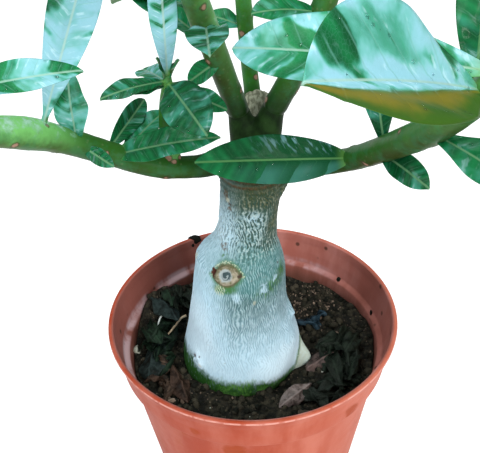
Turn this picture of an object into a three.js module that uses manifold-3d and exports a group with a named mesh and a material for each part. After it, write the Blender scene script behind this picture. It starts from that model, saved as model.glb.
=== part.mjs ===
// A desert rose (adenium) in a round plastic nursery pot, in millimetres, +Z up.
// The origin is the centre of the pot's flat underside.
import * as THREE from 'three';
import Module from 'manifold-3d';

const wasm = await Module();
wasm.setup();

// Driving dimensions
const GAP = 0.3;
const POT_HEIGHT = 122;
const RIM_RADIUS = 70;
const LIP_DROP = 4;
const COLLAR_RADIUS = 67.5;
const COLLAR_HEIGHT = 20;
const BODY_RADIUS = 63;
const FOOT_RADIUS = 48.3;
const POT_WALL = 1.6;
const FLOOR_THICKNESS = 2.2;
const LEDGE_DROP = 17.5;
const POT_SIDES = 44;
const HUB_RADIUS = 12;
const DRAIN_RADIUS = 4;
const DRAIN_COUNT = 6;
const DRAIN_CIRCLE = 31;
const DRAIN_SIDES = 8;
const SOIL_LEVEL = 96.5;
const SOIL_RINGS = 11;
const SOIL_SIDES = 40;
const SOIL_SHOULDERS = [50, 88];
const SOIL_BED = 2;
const HOLE_ALLOWANCE = 0.4;
const HOLE_ROWS = 8;
const TRUNK_SIDES = 26;
const TRUNK_STEPS_PER_ROW = 1.5;
const STEM_SIDES = 9;
const STEM_STEPS_PER_ROW = 2;
const ARM_KNEE = 4;
const ARM_SWELL = 0.3;
const SET_OFF_PLACE = 0.2;
const MIDRIB_THICKNESS = 1.3;
const EDGE_THICKNESS = 0.85;
const PETIOLE_HALF_WIDTH = 1.25;
const TIP_HALF_WIDTH = 0.45;
const TIP_TAPER = 0.75;
const LEAF_STATIONS = [0, 0.1, 0.26, 0.44, 0.62, 0.79, 0.92, 1];
const LEAF_TURNS = 2.2;
const FULLEST = 0.6;
const GOLDEN_ANGLE = 137.5;
const TURN_PLAY = 16;
const LEAN_PLAY = 8;
const YOUNG_LEAF = { arch: 26, fold: 14, wave: 0.8 };
const DRY_TURNS = 1.6;
const DRY_CLEARANCE = 0.6;

// Where the soil is piled up against the wall: x, y, rise, spread in x, spread in y
const SOIL_PILES = [
  [-53, 31, 12, 15, 20],
  [60, 20, 5, 20, 26],
];

// Skin of the trunk: height, centre x, centre y, half width
const TRUNK_SECTIONS = [
  [58, -6, -4, 7],
  [66, -6, -4, 13],
  [78, -6.5, -4, 20.5],
  [88, -7, -4, 25.5],
  [96, -7, -4, 28],
  [102, -6.4, -4, 28.4],
  [111.6, -5.2, -4, 27.8],
  [121.6, -5.4, -4, 25.4],
  [131, -6.1, -4, 23],
  [140, -5.6, -4, 21.8],
  [149, -5, -4, 21.1],
  [155, -4.6, -4, 20.4],
  [159.7, -4.4, -4, 19.2],
  [163.6, -3.3, -4, 17],
  [169, -1.8, -4, 14],
  [174.5, -1.1, -4, 13.1],
  [180, -0.6, -4, 12.8],
  [185, 0, -4, 12.8],
  [190, 0.6, -3.6, 13],
  [195, 1.4, -3, 13.4],
  [200, 2, -2, 13.4],
  [205, 2.6, -0.6, 12],
  [210, 3, 0.8, 9],
];

// Swellings of the skin: bearing in degrees, height, rise, half width around, half width up
const TRUNK_SWELLINGS = [
  [-111, 160.5, 1.6, 7.5, 6],
  [-111, 160.5, -1.3, 2.6, 2.4],
  [180, 165, 2.4, 6, 6],
  [-8, 130, 1.6, 3.2, 3],
  [-12, 98, 8, 4.8, 8.5],
  [-30, 118, 1.4, 6, 10],
  [-145, 104, 1.2, 7, 6],
  [60, 150, 1.5, 9, 12],
  [120, 128, 1.6, 10, 14],
  [-60, 104, 1, 8, 7],
];

// Stem paths: x, y, z, radius. The first point is where the stem leaves the trunk's fork.
const STEM_LEFT = [
  [-14, -0.6, 204.4, 5.3],
  [-22, -3, 204.2, 4.8],
  [-38, -8, 208, 4.7],
  [-56, -12, 217, 4.9],
  [-71, -18, 226.5, 5.3],
  [-80, -30, 235.5, 6.1],
  [-89, -44, 244, 5.2],
  [-97, -57, 254, 4.2],
  [-102, -67, 265, 3],
];
const STEM_LEFT_SHOOT = [
  [-31, -4.6, 212.4, 2.9],
  [-32.5, -4, 222, 2.5],
  [-31.5, -6.5, 233, 2.3],
  [-29.5, -9.5, 242.5, 2.2],
  [-28.8, -10.2, 246.5, 1.5],
];
const STEM_RIGHT = [
  [19, -0.6, 201.5, 5.3],
  [28, -1.6, 202.5, 4.9],
  [36, -5, 205.5, 4.8],
  [43.5, -16, 213.5, 4.8],
  [51.5, -38, 230, 4.9],
  [57.5, -60, 247, 5.1],
  [62.5, -76, 263, 5],
  [67.5, -85, 276, 4.3],
  [72, -90, 288, 2.8],
];
const STEM_UP_LEFT = [
  [-3.6, 4.4, 227, 4.6],
  [-8.6, -2.6, 246, 4.6],
  [-13, -11, 264, 4.8],
  [-17, -19, 281, 4.6],
  [-20, -25, 297, 4.2],
  [-22, -29, 309, 3],
];
const STEM_UP_RIGHT = [
  [12.4, 3.2, 228.5, 4.9],
  [18.5, 2, 241, 4.7],
  [26.5, 3.6, 257, 4.6],
  [33, 7.5, 274, 4.6],
  [38, 13, 291, 4.3],
  [41, 18, 306, 3],
];
const STEM_BACK = [
  [3.4, 26.5, 221, 3.6],
  [2.2, 29, 232, 3.5],
  [1, 28, 250, 3.4],
  [0, 26, 269, 3.3],
  [-1, 27, 284, 3.1],
  [-2, 30, 296, 2.2],
];

// Fork arms of the trunk: the root inside the crown with its radius, then the stem they carry
const FORK_ARMS = [
  { root: [-1, -3, 198, 9.5], stem: STEM_LEFT },
  { root: [5, -3.5, 193, 10], stem: STEM_RIGHT },
  { root: [1, 1, 207, 8], stem: STEM_UP_LEFT },
  { root: [5, 0, 207, 8], stem: STEM_UP_RIGHT },
  { root: [6, 9, 203, 6], stem: STEM_BACK },
];
// The knuckle on the left stem that carries the side shoot
const SHOOT_SEAT = [
  [-31, -6.2, 206.2, 4],
  [-31, -5, 210, 3.4],
  STEM_LEFT_SHOOT[0],
];
const CUT_STUB = [
  [5, 4, 202, 7.5],
  [5, 14, 210, 6.4],
  [5, 18, 217, 5.9],
  [5, 20.5, 224.5, 5.7],
];

// Leaves placed one by one. "at" counts along the stem's points, "tip" is the blade's tip,
// "face" is where the upper side looks.
const LEAVES_LEFT = [
  { at: 2.8, tip: [-10, -21.5, 227], face: [0, -0.7, 1],
    width: 13.5, fullest: 0.45, arch: 16, fold: 14, wave: 0.8 },
  { at: 3, tip: [-43, 18, 226], face: [0.5, -1, 0.7],
    width: 10, arch: 14, fold: 24, wave: 0.5 },
  { at: 2.7, tip: [-34, 14, 222], face: [0, -0.3, 1],
    width: 12, arch: 16, fold: 18, wave: 0.6 },
  { at: 3.6, tip: [-63, -20, 256], face: [-0.2, -1, 0.3],
    width: 14.5, arch: 14, fold: 14, wave: 1.3 },
  { at: 4.55, tip: [-45, -24, 302], face: [0.25, -1, 0.55],
    width: 17, fullest: 0.68, arch: 12, fold: 12, wave: 0.7 },
  { at: 7.7, tip: [-51, -46, 264.5], face: [0, -0.6, 1],
    width: 13, arch: 18, fold: 16, wave: 0.6 },
  { at: 3.55, tip: [-51, -24.5, 217.5], face: [0.1, -0.9, 0.6],
    width: 6.5, arch: 24, fold: 10, wave: 0.3 },
];
const LEAVES_LEFT_SHOOT = [
  { at: 3.7, tip: [-27.5, -12, 292], face: [0.1, -1, 0.35],
    width: 10.5, arch: 10, fold: 14, wave: 0.7 },
  { at: 3.5, tip: [-52.5, -23, 244.5], face: [0, -0.5, 1],
    width: 9, arch: 22, fold: 16, wave: 0.5 },
  { at: 3.3, tip: [-42, 13, 241], face: [0.2, -0.7, 1],
    width: 11, arch: 16, fold: 12, wave: 0.5 },
  { at: 3.2, tip: [-43, -15, 243], face: [0, -0.4, 1],
    width: 7, arch: 12, fold: 14, wave: 0.4 },
  { at: 3.4, tip: [-13.5, -44, 239.5], face: [-0.25, -0.7, 1],
    width: 18, arch: 26, fold: 10, wave: 0.8 },
  { at: 3, tip: [-7, -15, 235], face: [0, -0.6, 0.9],
    width: 9.5, arch: 14, fold: 12, wave: 0.4 },
];
const LEAVES_RIGHT = [
  { at: 2.85, tip: [-20, -25, 218.5], face: [0.05, -0.78, 0.62],
    width: 19.5, fullest: 0.52, arch: 8, fold: 8, wave: 0.6 },
  { at: 3.6, tip: [63, -49, 218.5], face: [-0.3, -0.6, 0.8],
    width: 11, arch: 20, fold: 18, wave: 0.8 },
  { at: 4.9, tip: [84, -97, 238], face: [0.1, -0.6, 0.9],
    width: 17, arch: 20, fold: 14, wave: 0.8 },
  { at: 6.1, tip: [68, -54, 306], face: [-0.4, -1, 0.3],
    width: 15, arch: 10, fold: 12, wave: 0.7 },
  { at: 3.75, tip: [44, -18, 258], face: [0.2, -1, 0.5],
    width: 12, arch: 16, fold: 14, wave: 0.6 },
  { at: 6.9, tip: [-3.5, -51, 272], face: [0, -0.8, 1],
    width: 25, arch: 14, fold: 14, wave: 0.8 },
  { at: 6.35, tip: [10.5, -136, 296], face: [0.15, -0.62, 0.85],
    width: 36, fullest: 0.66, arch: 12, fold: 25, wave: 0.9 },
  { at: 6.7, tip: [121, -78, 286], face: [0, -0.2, 1],
    width: 20, arch: 20, fold: 14, wave: 0.9 },
  { at: 7.3, tip: [112, -124, 300], face: [-0.5, 0, 1],
    width: 18, arch: 20, fold: 14, wave: 0.8 },
  { at: 7.5, tip: [96, -56, 318], face: [-0.5, -0.6, 1],
    width: 17, arch: 18, fold: 14, wave: 0.8 },
];
const LEAVES_UP_LEFT = [
  { at: 1.4, foot: [-7, -7, 253], tip: [-21.5, -8, 243.5], face: [0.2, -1, 0.9],
    width: 8.5, arch: 16, fold: 20, wave: 0.4 },
  { at: 2.1, tip: [-10.5, -52, 270.5], face: [0, -0.5, 1],
    width: 15, arch: 20, fold: 16, wave: 0.7 },
  { at: 1.6, tip: [-47, 16, 276], face: [0, -0.5, 1],
    width: 12, arch: 14, fold: 16, wave: 0.6 },
  { at: 2.4, tip: [-52, 22, 266], face: [0, 0.1, 1],
    width: 12, arch: 40, fold: 10, wave: 0.6 },
];
const LEAVES_UP_RIGHT = [
  { at: 2.4, tip: [3, -6, 268], face: [0, -0.5, 1],
    width: 14, arch: 30, fold: 14, wave: 0.6 },
  { at: 2.8, tip: [66, 34, 284], face: [0, -0.2, 1],
    width: 18, arch: 24, fold: 16, wave: 0.7 },
];
const LEAVES_BACK = [
  { at: 2.1, tip: [-15, 33, 256], face: [0.2, -0.7, 1],
    width: 10, arch: 16, fold: 16, wave: 0.4 },
];

// Rosettes at the stems' ends: how many leaves, their length, width, where round the stem the
// first one stands and how far the outermost one leans out
const ROSETTES = {
  branch_left: { count: 8, length: 52, width: 17, start: 40, lean: 74, seed: 11 },
  branch_left_shoot: { count: 2, length: 13, width: 4, start: 20, lean: 26, seed: 5 },
  branch_right: { count: 3, length: 34, width: 11, start: 10, lean: 24, seed: 23 },
  branch_up_left: { count: 8, length: 54, width: 18, start: 0, lean: 70, seed: 31 },
  branch_up_right: { count: 8, length: 54, width: 18, start: 60, lean: 66, seed: 47 },
  branch_back: { count: 6, length: 34, width: 12, start: 95, lean: 58, seed: 59 },
};

// Fallen leaves on the soil: foot, tip, where the upper side looks, and the curl
const DRY_LEAVES = [
  { foot: [-47, 3], tip: [-51, -24], face: [-0.3, 0, 1], width: 17, arch: 50, fold: -24, wave: 1.6 },
  { foot: [-54, 27], tip: [-38, 8], face: [0.4, 0.2, 1], width: 15, arch: 50, fold: -26, wave: 1.4 },
  { foot: [-40.5, -14], tip: [-31, -38], face: [0.3, 0, 1], width: 11, arch: 40, fold: -30, wave: 1.5 },
  { foot: [27, -28], tip: [11, -42], face: [0.2, -0.5, 1], width: 10, arch: 90, fold: -30, wave: 1.2 },
  { foot: [43, -8], tip: [25, -20], face: [0, -0.3, 1], width: 10, arch: 60, fold: -28, wave: 1.3 },
  { foot: [49, 6], tip: [50, -20], face: [0.3, 0, 1], width: 10, arch: 50, fold: -30, wave: 1.3 },
];

const radians = THREE.MathUtils.degToRad;
const point = (values) => new THREE.Vector3(values[0], values[1], values[2]);

// The same numbers each time: a Lehmer generator
function seeded(seed) {
  let state = seed;
  return () => {
    state = (state * 16807) % 2147483647;
    return state / 2147483647;
  };
}

// Catmull-Rom through rows of numbers, at a place counted in rows
function along(rows, place) {
  const last = rows.length - 1;
  const i = Math.min(Math.floor(place), last - 1);
  const f = place - i;
  const a = rows[Math.max(i - 1, 0)];
  const b = rows[i];
  const c = rows[i + 1];
  const d = rows[Math.min(i + 2, last)];
  return b.map((value, k) => {
    const slope = (c[k] - a[k]) / 2;
    const next = (d[k] - value) / 2;
    const rise = c[k] - value;
    const bow = 3 * rise - 2 * slope - next;
    const turn = slope + next - 2 * rise;
    return value + f * (slope + f * (bow + f * turn));
  });
}

// A closed skin over rings of points, with a flat lid at each end
function loft(rings, mirrored = () => false) {
  const sides = rings[0].length;
  const positions = [];
  const index = [];
  rings.forEach((ring) => ring.forEach((p) => positions.push(p.x, p.y, p.z)));
  for (let i = 0; i + 1 < rings.length; i++) {
    for (let j = 0; j < sides; j++) {
      const k = (j + 1) % sides;
      const a = i * sides + j;
      const b = i * sides + k;
      const c = a + sides;
      const d = b + sides;
      if (mirrored(j)) index.push(a, b, c, b, d, c);
      else index.push(a, b, d, a, d, c);
    }
  }
  const end = (rings.length - 1) * sides;
  for (let j = 1; j + 1 < sides; j++) {
    index.push(0, j + 1, j);
    index.push(end, end + j, end + j + 1);
  }
  const geometry = new THREE.BufferGeometry();
  geometry.setAttribute('position', new THREE.Float32BufferAttribute(positions, 3));
  geometry.setIndex(index);
  return geometry;
}

function solid(geometry) {
  const mesh = new wasm.Mesh({
    numProp: 3,
    vertProperties: new Float32Array(geometry.attributes.position.array),
    triVerts: new Uint32Array(geometry.index.array),
  });
  return new wasm.Manifold(mesh);
}

function fromSolid(body) {
  const mesh = body.getMesh();
  const geometry = new THREE.BufferGeometry();
  geometry.setAttribute('position', new THREE.BufferAttribute(mesh.vertProperties, 3));
  geometry.setIndex(new THREE.BufferAttribute(mesh.triVerts, 1));
  return geometry;
}

function fuse(geometries) {
  return geometries.map(solid).reduce((whole, piece) => whole.add(piece));
}

function circle(centre, radius, sides, across, up) {
  return Array.from({ length: sides }, (_, j) => {
    const angle = (j / sides) * Math.PI * 2;
    return centre.clone()
      .addScaledVector(across, radius * Math.cos(angle))
      .addScaledVector(up, radius * Math.sin(angle));
  });
}

// The way a stem sets off from its first point
function setOff(rows) {
  return point(along(rows, SET_OFF_PLACE)).sub(point(rows[0])).normalize();
}

// A round stem along rows of x, y, z, radius, whose section frame is carried along without twist.
// It starts square to its own way off, or ends square to the way off of the stem it carries.
function stem(rows, stepsPerRow, carried = null) {
  const count = Math.round((rows.length - 1) * stepsPerRow);
  const places = Array.from({ length: count + 1 }, (_, i) => (i / count) * (rows.length - 1));
  const samples = places.map((place) => along(rows, place));
  let across = null;
  const rings = samples.map((row, i) => {
    const before = point(samples[Math.max(i - 1, 0)]);
    const after = point(samples[Math.min(i + 1, count)]);
    let forward = after.sub(before).normalize();
    if (i === 0) forward = setOff(rows);
    if (i === count && carried) forward = setOff(carried);
    if (!across) across = new THREE.Vector3(0, -1, 0).cross(forward).normalize();
    across.addScaledVector(forward, -across.dot(forward)).normalize();
    const up = forward.clone().cross(across);
    const centre = point(row);
    if (i === 0 && !carried) centre.addScaledVector(forward, GAP);
    return circle(centre, row[3], STEM_SIDES, across, up);
  });
  return loft(rings);
}

// Half width of a blade at s, from 0 at its foot to 1 at its tip
function halfWidth(s, width, fullest) {
  const growth = (TIP_TAPER * fullest) / (1 - fullest);
  const blade = Math.pow(s / fullest, growth) * Math.pow((1 - s) / (1 - fullest), TIP_TAPER);
  const least = PETIOLE_HALF_WIDTH + (TIP_HALF_WIDTH - PETIOLE_HALF_WIDTH) * s;
  return Math.max(least, (width / 2) * blade);
}

// One blade from its foot to its tip: folded along the midrib, arched, and waved at its edges
function leaf({
  foot, tip, face, width, arch, fold, wave, fullest = FULLEST, turns = LEAF_TURNS, phase = 0,
}) {
  const chord = tip.clone().sub(foot);
  const length = chord.length();
  const forward = chord.normalize();
  const normal = face.clone().addScaledVector(forward, -face.dot(forward)).normalize();
  const side = normal.clone().cross(forward);
  const bend = radians(arch);
  const radius = length / (2 * Math.sin(bend / 2));
  const tilt = radians(fold);
  const rings = LEAF_STATIONS.map((s) => {
    const angle = bend * (s - 0.5);
    const centre = foot.clone()
      .addScaledVector(forward, radius * (Math.sin(angle) + Math.sin(bend / 2)))
      .addScaledVector(normal, radius * (Math.cos(angle) - Math.cos(bend / 2)));
    const up = normal.clone().multiplyScalar(Math.cos(angle)).addScaledVector(forward, Math.sin(angle));
    const half = halfWidth(s, width, fullest);
    const spot = (v, layer) => {
      const edge = Math.abs(v);
      const ripple = wave * edge * Math.sin(Math.PI * s) * Math.sin(2 * Math.PI * turns * s + phase * v);
      const thick = MIDRIB_THICKNESS + (EDGE_THICKNESS - MIDRIB_THICKNESS) * edge;
      return centre.clone()
        .addScaledVector(side, half * v * Math.cos(tilt))
        .addScaledVector(up, half * edge * Math.sin(tilt) + ripple + (layer * thick) / 2);
    };
    return [spot(1, 1), spot(0, 1), spot(-1, 1), spot(-1, -1), spot(0, -1), spot(1, -1)];
  });
  return loft(rings, (j) => j === 3 || j === 4);
}

function placedLeaves(rows, leaves) {
  return leaves.map((spec, i) => leaf({
    ...spec,
    foot: point(spec.foot ?? along(rows, spec.at)),
    tip: point(spec.tip),
    face: point(spec.face),
    phase: i,
  }));
}

// Leaves round the end of a stem, the youngest upright in the middle, turned by the golden angle
function rosette(rows, { count, length, width, start, lean, seed }) {
  const draw = seeded(seed);
  const last = rows.length - 1;
  const axis = point(rows[last]).sub(point(rows[last - 1])).normalize();
  const across = new THREE.Vector3(1, 0, 0).addScaledVector(axis, -axis.x).normalize();
  const up = axis.clone().cross(across);
  return Array.from({ length: count }, (_, i) => {
    const age = (i + 1) / count;
    const turn = radians(start + GOLDEN_ANGLE * i + TURN_PLAY * (draw() - 0.5));
    const open = radians(lean * (0.25 + 0.75 * age) + LEAN_PLAY * (draw() - 0.5));
    const reach = length * (0.55 + 0.45 * age) * (0.92 + 0.16 * draw());
    const outward = across.clone().multiplyScalar(Math.cos(turn)).addScaledVector(up, Math.sin(turn));
    const foot = point(along(rows, last - 0.15 - 0.85 * age));
    const tip = foot.clone()
      .addScaledVector(axis, reach * Math.cos(open))
      .addScaledVector(outward, reach * Math.sin(open));
    const blade = width * (0.6 + 0.4 * age) * (0.9 + 0.2 * draw());
    return leaf({ ...YOUNG_LEAF, foot, tip, face: axis, width: blade, phase: i });
  });
}

// Pot: the profile runs from the underside's centre round the rim to the inner floor's centre
function potGeometry() {
  const body = (z) => potInside(z) + POT_WALL;
  const collarFoot = POT_HEIGHT - COLLAR_HEIGHT;
  const ledge = POT_HEIGHT - LEDGE_DROP;
  const inside = COLLAR_RADIUS - POT_WALL - 0.4;
  const profile = [
    [HUB_RADIUS, 0],
    [FOOT_RADIUS - 1.5, 0],
    [FOOT_RADIUS, 1.5],
    [body(34), 34],
    [body(68), 68],
    [body(collarFoot - 1), collarFoot - 1],
    [COLLAR_RADIUS - 1.8, collarFoot],
    [COLLAR_RADIUS - 0.8, collarFoot + 8],
    [COLLAR_RADIUS, POT_HEIGHT - LIP_DROP - 0.6],
    [RIM_RADIUS - 0.6, POT_HEIGHT - LIP_DROP],
    [RIM_RADIUS, POT_HEIGHT - 1.6],
    [RIM_RADIUS - 1, POT_HEIGHT - 0.2],
    [RIM_RADIUS - 2.4, POT_HEIGHT],
    [RIM_RADIUS - 3.6, POT_HEIGHT - 0.9],
    [inside, POT_HEIGHT - 4],
    [inside - 1.2, ledge + 0.8],
    [potInside(ledge), ledge - 0.6],
    [potInside(SOIL_SHOULDERS[1]), SOIL_SHOULDERS[1]],
    [potInside(SOIL_SHOULDERS[0]), SOIL_SHOULDERS[0]],
    [potInside(4), FLOOR_THICKNESS + 2],
    [FOOT_RADIUS - 4, FLOOR_THICKNESS],
    [HUB_RADIUS, FLOOR_THICKNESS],
  ];
  const right = new THREE.Vector3(1, 0, 0);
  const back = new THREE.Vector3(0, 1, 0);
  const rings = profile.map(([r, z]) => circle(new THREE.Vector3(0, 0, z), r, POT_SIDES, right, back));
  let pot = solid(loft(rings));
  for (let i = 0; i < DRAIN_COUNT; i++) {
    const hole = new THREE.CylinderGeometry(DRAIN_RADIUS, DRAIN_RADIUS, 4 * FLOOR_THICKNESS, DRAIN_SIDES);
    hole.rotateX(Math.PI / 2);
    hole.translate(DRAIN_CIRCLE, 0, 0);
    hole.rotateZ((i / DRAIN_COUNT) * Math.PI * 2);
    pot = pot.subtract(solid(welded(hole)));
  }
  return fromSolid(pot);
}

// Corners that share a place share a vertex, so that the skin is closed
function welded(geometry) {
  const source = geometry.attributes.position;
  const seen = new Map();
  const positions = [];
  const corners = Array.from(geometry.index.array, (corner) => {
    const p = [source.getX(corner), source.getY(corner), source.getZ(corner)];
    const key = p.map((value) => Math.round(value * 1e4)).join(' ');
    if (!seen.has(key)) {
      seen.set(key, positions.length / 3);
      positions.push(...p);
    }
    return seen.get(key);
  });
  const whole = corners.filter((corner, i) => {
    const first = i - (i % 3);
    const [a, b, c] = corners.slice(first, first + 3);
    return a !== b && b !== c && c !== a;
  });
  const result = new THREE.BufferGeometry();
  result.setAttribute('position', new THREE.Float32BufferAttribute(positions, 3));
  result.setIndex(whole);
  return result;
}

// Rough top of the soil: a level with ripples, piled up against the wall at the left and right
function soilHeight(x, y) {
  const ripples = 1.1 * Math.sin(x / 4.1 + 1.3 * Math.sin(y / 6.3)) * Math.sin(y / 4.7 + 0.8)
    + 0.8 * Math.sin(x / 9.7 - y / 7.9 + 2) + 0.7 * Math.sin(y / 11 + x / 23);
  const piles = SOIL_PILES.map(([cx, cy, rise, wide, deep]) => (
    rise * Math.exp(-(((x - cx) / wide) ** 2) - (((y - cy) / deep) ** 2))
  ));
  return SOIL_LEVEL + ripples + piles[0] + piles[1];
}

function potInside(z) {
  const share = z / (POT_HEIGHT - COLLAR_HEIGHT);
  return FOOT_RADIUS + (BODY_RADIUS - FOOT_RADIUS) * share - POT_WALL;
}

// Skin of the trunk, grown outwards by an allowance where it is the hole in the soil
function trunkRings(allowance, firstRow, lastRow) {
  const steps = (lastRow - firstRow) * TRUNK_STEPS_PER_ROW;
  return Array.from({ length: steps + 1 }, (_, i) => {
    const place = firstRow + (i / steps) * (lastRow - firstRow);
    const [z, x, y, radius] = along(TRUNK_SECTIONS, place);
    return Array.from({ length: TRUNK_SIDES }, (_, j) => {
      const bearing = (j / TRUNK_SIDES) * 360;
      let reach = radius + allowance;
      TRUNK_SWELLINGS.forEach(([towards, height, rise, around, high]) => {
        const turn = ((bearing - towards + 540) % 360) - 180;
        const arc = radians(turn) * radius;
        reach += rise * Math.exp(-((arc / around) ** 2) - (((z - height) / high) ** 2));
      });
      const angle = radians(bearing);
      const depth = i === 0 ? z - allowance : z;
      return new THREE.Vector3(x + reach * Math.cos(angle), y + reach * Math.sin(angle), depth);
    });
  });
}

function soilGeometry() {
  const right = new THREE.Vector3(1, 0, 0);
  const back = new THREE.Vector3(0, 1, 0);
  const bed = new THREE.Vector3(0, 0, FLOOR_THICKNESS + SOIL_BED);
  const shoulders = SOIL_SHOULDERS.map((z) => {
    const centre = new THREE.Vector3(0, 0, z);
    return circle(centre, potInside(z) - GAP, SOIL_SIDES, right, back);
  });
  const rings = [circle(bed, FOOT_RADIUS - 3 * SOIL_BED, SOIL_SIDES, right, back), ...shoulders];
  for (let i = 0; i < SOIL_RINGS; i++) {
    const ring = circle(new THREE.Vector3(), 1 - i / SOIL_RINGS, SOIL_SIDES, right, back);
    ring.forEach((p) => {
      const edge = potInside(SOIL_LEVEL);
      const wall = potInside(soilHeight(p.x * edge, p.y * edge)) - 2 * GAP;
      p.multiplyScalar(wall).setZ(soilHeight(p.x, p.y));
    });
    rings.push(ring);
  }
  const hole = loft(trunkRings(HOLE_ALLOWANCE, 0, HOLE_ROWS));
  return fromSolid(solid(loft(rings)).subtract(solid(hole)));
}

// Trunk: swollen foot, neck and crown, the fork arms that carry the stems, and the sawn-off stub
function trunkGeometry() {
  const pieces = [loft(trunkRings(0, 0, TRUNK_SECTIONS.length - 1))];
  FORK_ARMS.forEach(({ root, stem: rows }) => {
    const knee = point(rows[0]).addScaledVector(setOff(rows), -ARM_KNEE);
    const middle = point(root).lerp(knee, 0.6);
    const arm = [
      root,
      [middle.x, middle.y, middle.z, (root[3] + rows[0][3]) / 2],
      [knee.x, knee.y, knee.z, rows[0][3] + ARM_SWELL],
      rows[0],
    ];
    pieces.push(stem(arm, 1, rows));
  });
  pieces.push(stem(CUT_STUB, 1, CUT_STUB));
  return fromSolid(fuse(pieces));
}

function leafyStem(name, rows, leaves) {
  const pieces = [
    stem(rows, STEM_STEPS_PER_ROW),
    ...placedLeaves(rows, leaves),
    ...rosette(rows, ROSETTES[name]),
  ];
  if (name === 'branch_left') pieces.push(stem(SHOOT_SEAT, 1, STEM_LEFT_SHOOT));
  return fromSolid(fuse(pieces));
}

// A fallen leaf lies on the highest soil under it
function dryLeaf(spec, i) {
  const foot = new THREE.Vector3(spec.foot[0], spec.foot[1], SOIL_LEVEL + 1);
  const tip = new THREE.Vector3(spec.tip[0], spec.tip[1], SOIL_LEVEL + 1);
  const geometry = leaf({ ...spec, foot, tip, face: point(spec.face), turns: DRY_TURNS, phase: i });
  const place = geometry.attributes.position;
  let lift = -Infinity;
  for (let k = 0; k < place.count; k++) {
    lift = Math.max(lift, soilHeight(place.getX(k), place.getY(k)) + DRY_CLEARANCE - place.getZ(k));
  }
  geometry.translate(0, 0, lift);
  return geometry;
}

const finish = (color, roughness) => new THREE.MeshStandardMaterial({ color, roughness, metalness: 0 });
const FINISHES = {
  pot: finish(0xc8604a, 0.45),
  soil: finish(0x2b2119, 0.95),
  bark: finish(0xa9c0bd, 0.7),
  leafy: finish(0x1c6b34, 0.35),
  dry: finish(0x4a4540, 0.85),
};

const plant = new THREE.Group();

function addPiece(name, geometry, material) {
  const mesh = new THREE.Mesh(geometry, material);
  mesh.name = name;
  plant.add(mesh);
}

addPiece('pot', potGeometry(), FINISHES.pot);
addPiece('soil', soilGeometry(), FINISHES.soil);
addPiece('trunk', trunkGeometry(), FINISHES.bark);
const LEAFY_STEMS = [
  ['branch_left', STEM_LEFT, LEAVES_LEFT],
  ['branch_left_shoot', STEM_LEFT_SHOOT, LEAVES_LEFT_SHOOT],
  ['branch_right', STEM_RIGHT, LEAVES_RIGHT],
  ['branch_up_left', STEM_UP_LEFT, LEAVES_UP_LEFT],
  ['branch_up_right', STEM_UP_RIGHT, LEAVES_UP_RIGHT],
  ['branch_back', STEM_BACK, LEAVES_BACK],
];
LEAFY_STEMS.forEach(([name, rows, leaves]) => {
  addPiece(name, leafyStem(name, rows, leaves), FINISHES.leafy);
});
DRY_LEAVES.forEach((spec, i) => {
  addPiece(`dry_leaf_${i + 1}`, dryLeaf(spec, i), FINISHES.dry);
});

export default plant;
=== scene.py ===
"""Looks of a young desert rose in a round plastic nursery pot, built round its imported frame.

Lengths are in millimetres until a piece becomes a mesh, and +Z is up. The origin is the centre of the
pot's flat underside.
"""

import logging
import math
from collections.abc import Callable, Iterator, Sequence
from dataclasses import dataclass, field
from enum import Enum

import bpy
import numpy as np
from bpy.types import Material, Mesh, Node, NodeSocket, NodeTree, Object
from mathutils import Matrix, Vector


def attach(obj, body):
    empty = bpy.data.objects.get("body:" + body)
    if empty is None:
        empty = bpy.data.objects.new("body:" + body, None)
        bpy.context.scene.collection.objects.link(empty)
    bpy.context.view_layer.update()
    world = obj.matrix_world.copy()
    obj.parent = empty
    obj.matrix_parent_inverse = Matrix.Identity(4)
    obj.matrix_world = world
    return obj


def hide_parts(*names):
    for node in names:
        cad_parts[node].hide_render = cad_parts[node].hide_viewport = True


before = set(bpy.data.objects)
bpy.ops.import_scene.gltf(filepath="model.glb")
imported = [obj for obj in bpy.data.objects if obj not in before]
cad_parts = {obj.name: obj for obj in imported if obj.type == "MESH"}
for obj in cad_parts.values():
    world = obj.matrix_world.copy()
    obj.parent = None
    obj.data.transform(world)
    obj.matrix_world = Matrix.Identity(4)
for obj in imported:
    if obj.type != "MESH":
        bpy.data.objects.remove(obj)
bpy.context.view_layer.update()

log = logging.getLogger("desert_rose")

MM = 0.001
BODY = "root"
TAU = 2 * math.pi

Array = np.ndarray
Row = tuple[float, ...]
Rows = Sequence[Row]

# Pot and soil
POT_HEIGHT = 122.0
RIM_RADIUS = 70.0
COLLAR_RADIUS = 67.5
COLLAR_HEIGHT = 20.0
BODY_RADIUS = 63.0
FOOT_RADIUS = 48.3
POT_WALL = 1.6
FLOOR_THICKNESS = 2.2
LEDGE_DROP = 17.5
HUB_RADIUS = 12.0
DRAIN_RADIUS = 4.0
DRAIN_COUNT = 6
DRAIN_CIRCLE = 31.0
SOIL_LEVEL = 96.5
SOIL_BED = 2.0
SOIL_PILES: Rows = ((-53, 31, 12, 15, 20), (60, 20, 5, 20, 26))

# Stems and leaves
GOLDEN_ANGLE = 137.5
PETIOLE_HALF_WIDTH = 1.25
TIP_HALF_WIDTH = 0.45
TIP_TAPER = 0.75
LEAF_TURNS = 2.2
ARM_KNEE = 4.0
ARM_SWELL = 0.3
SET_OFF_PLACE = 0.2

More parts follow.
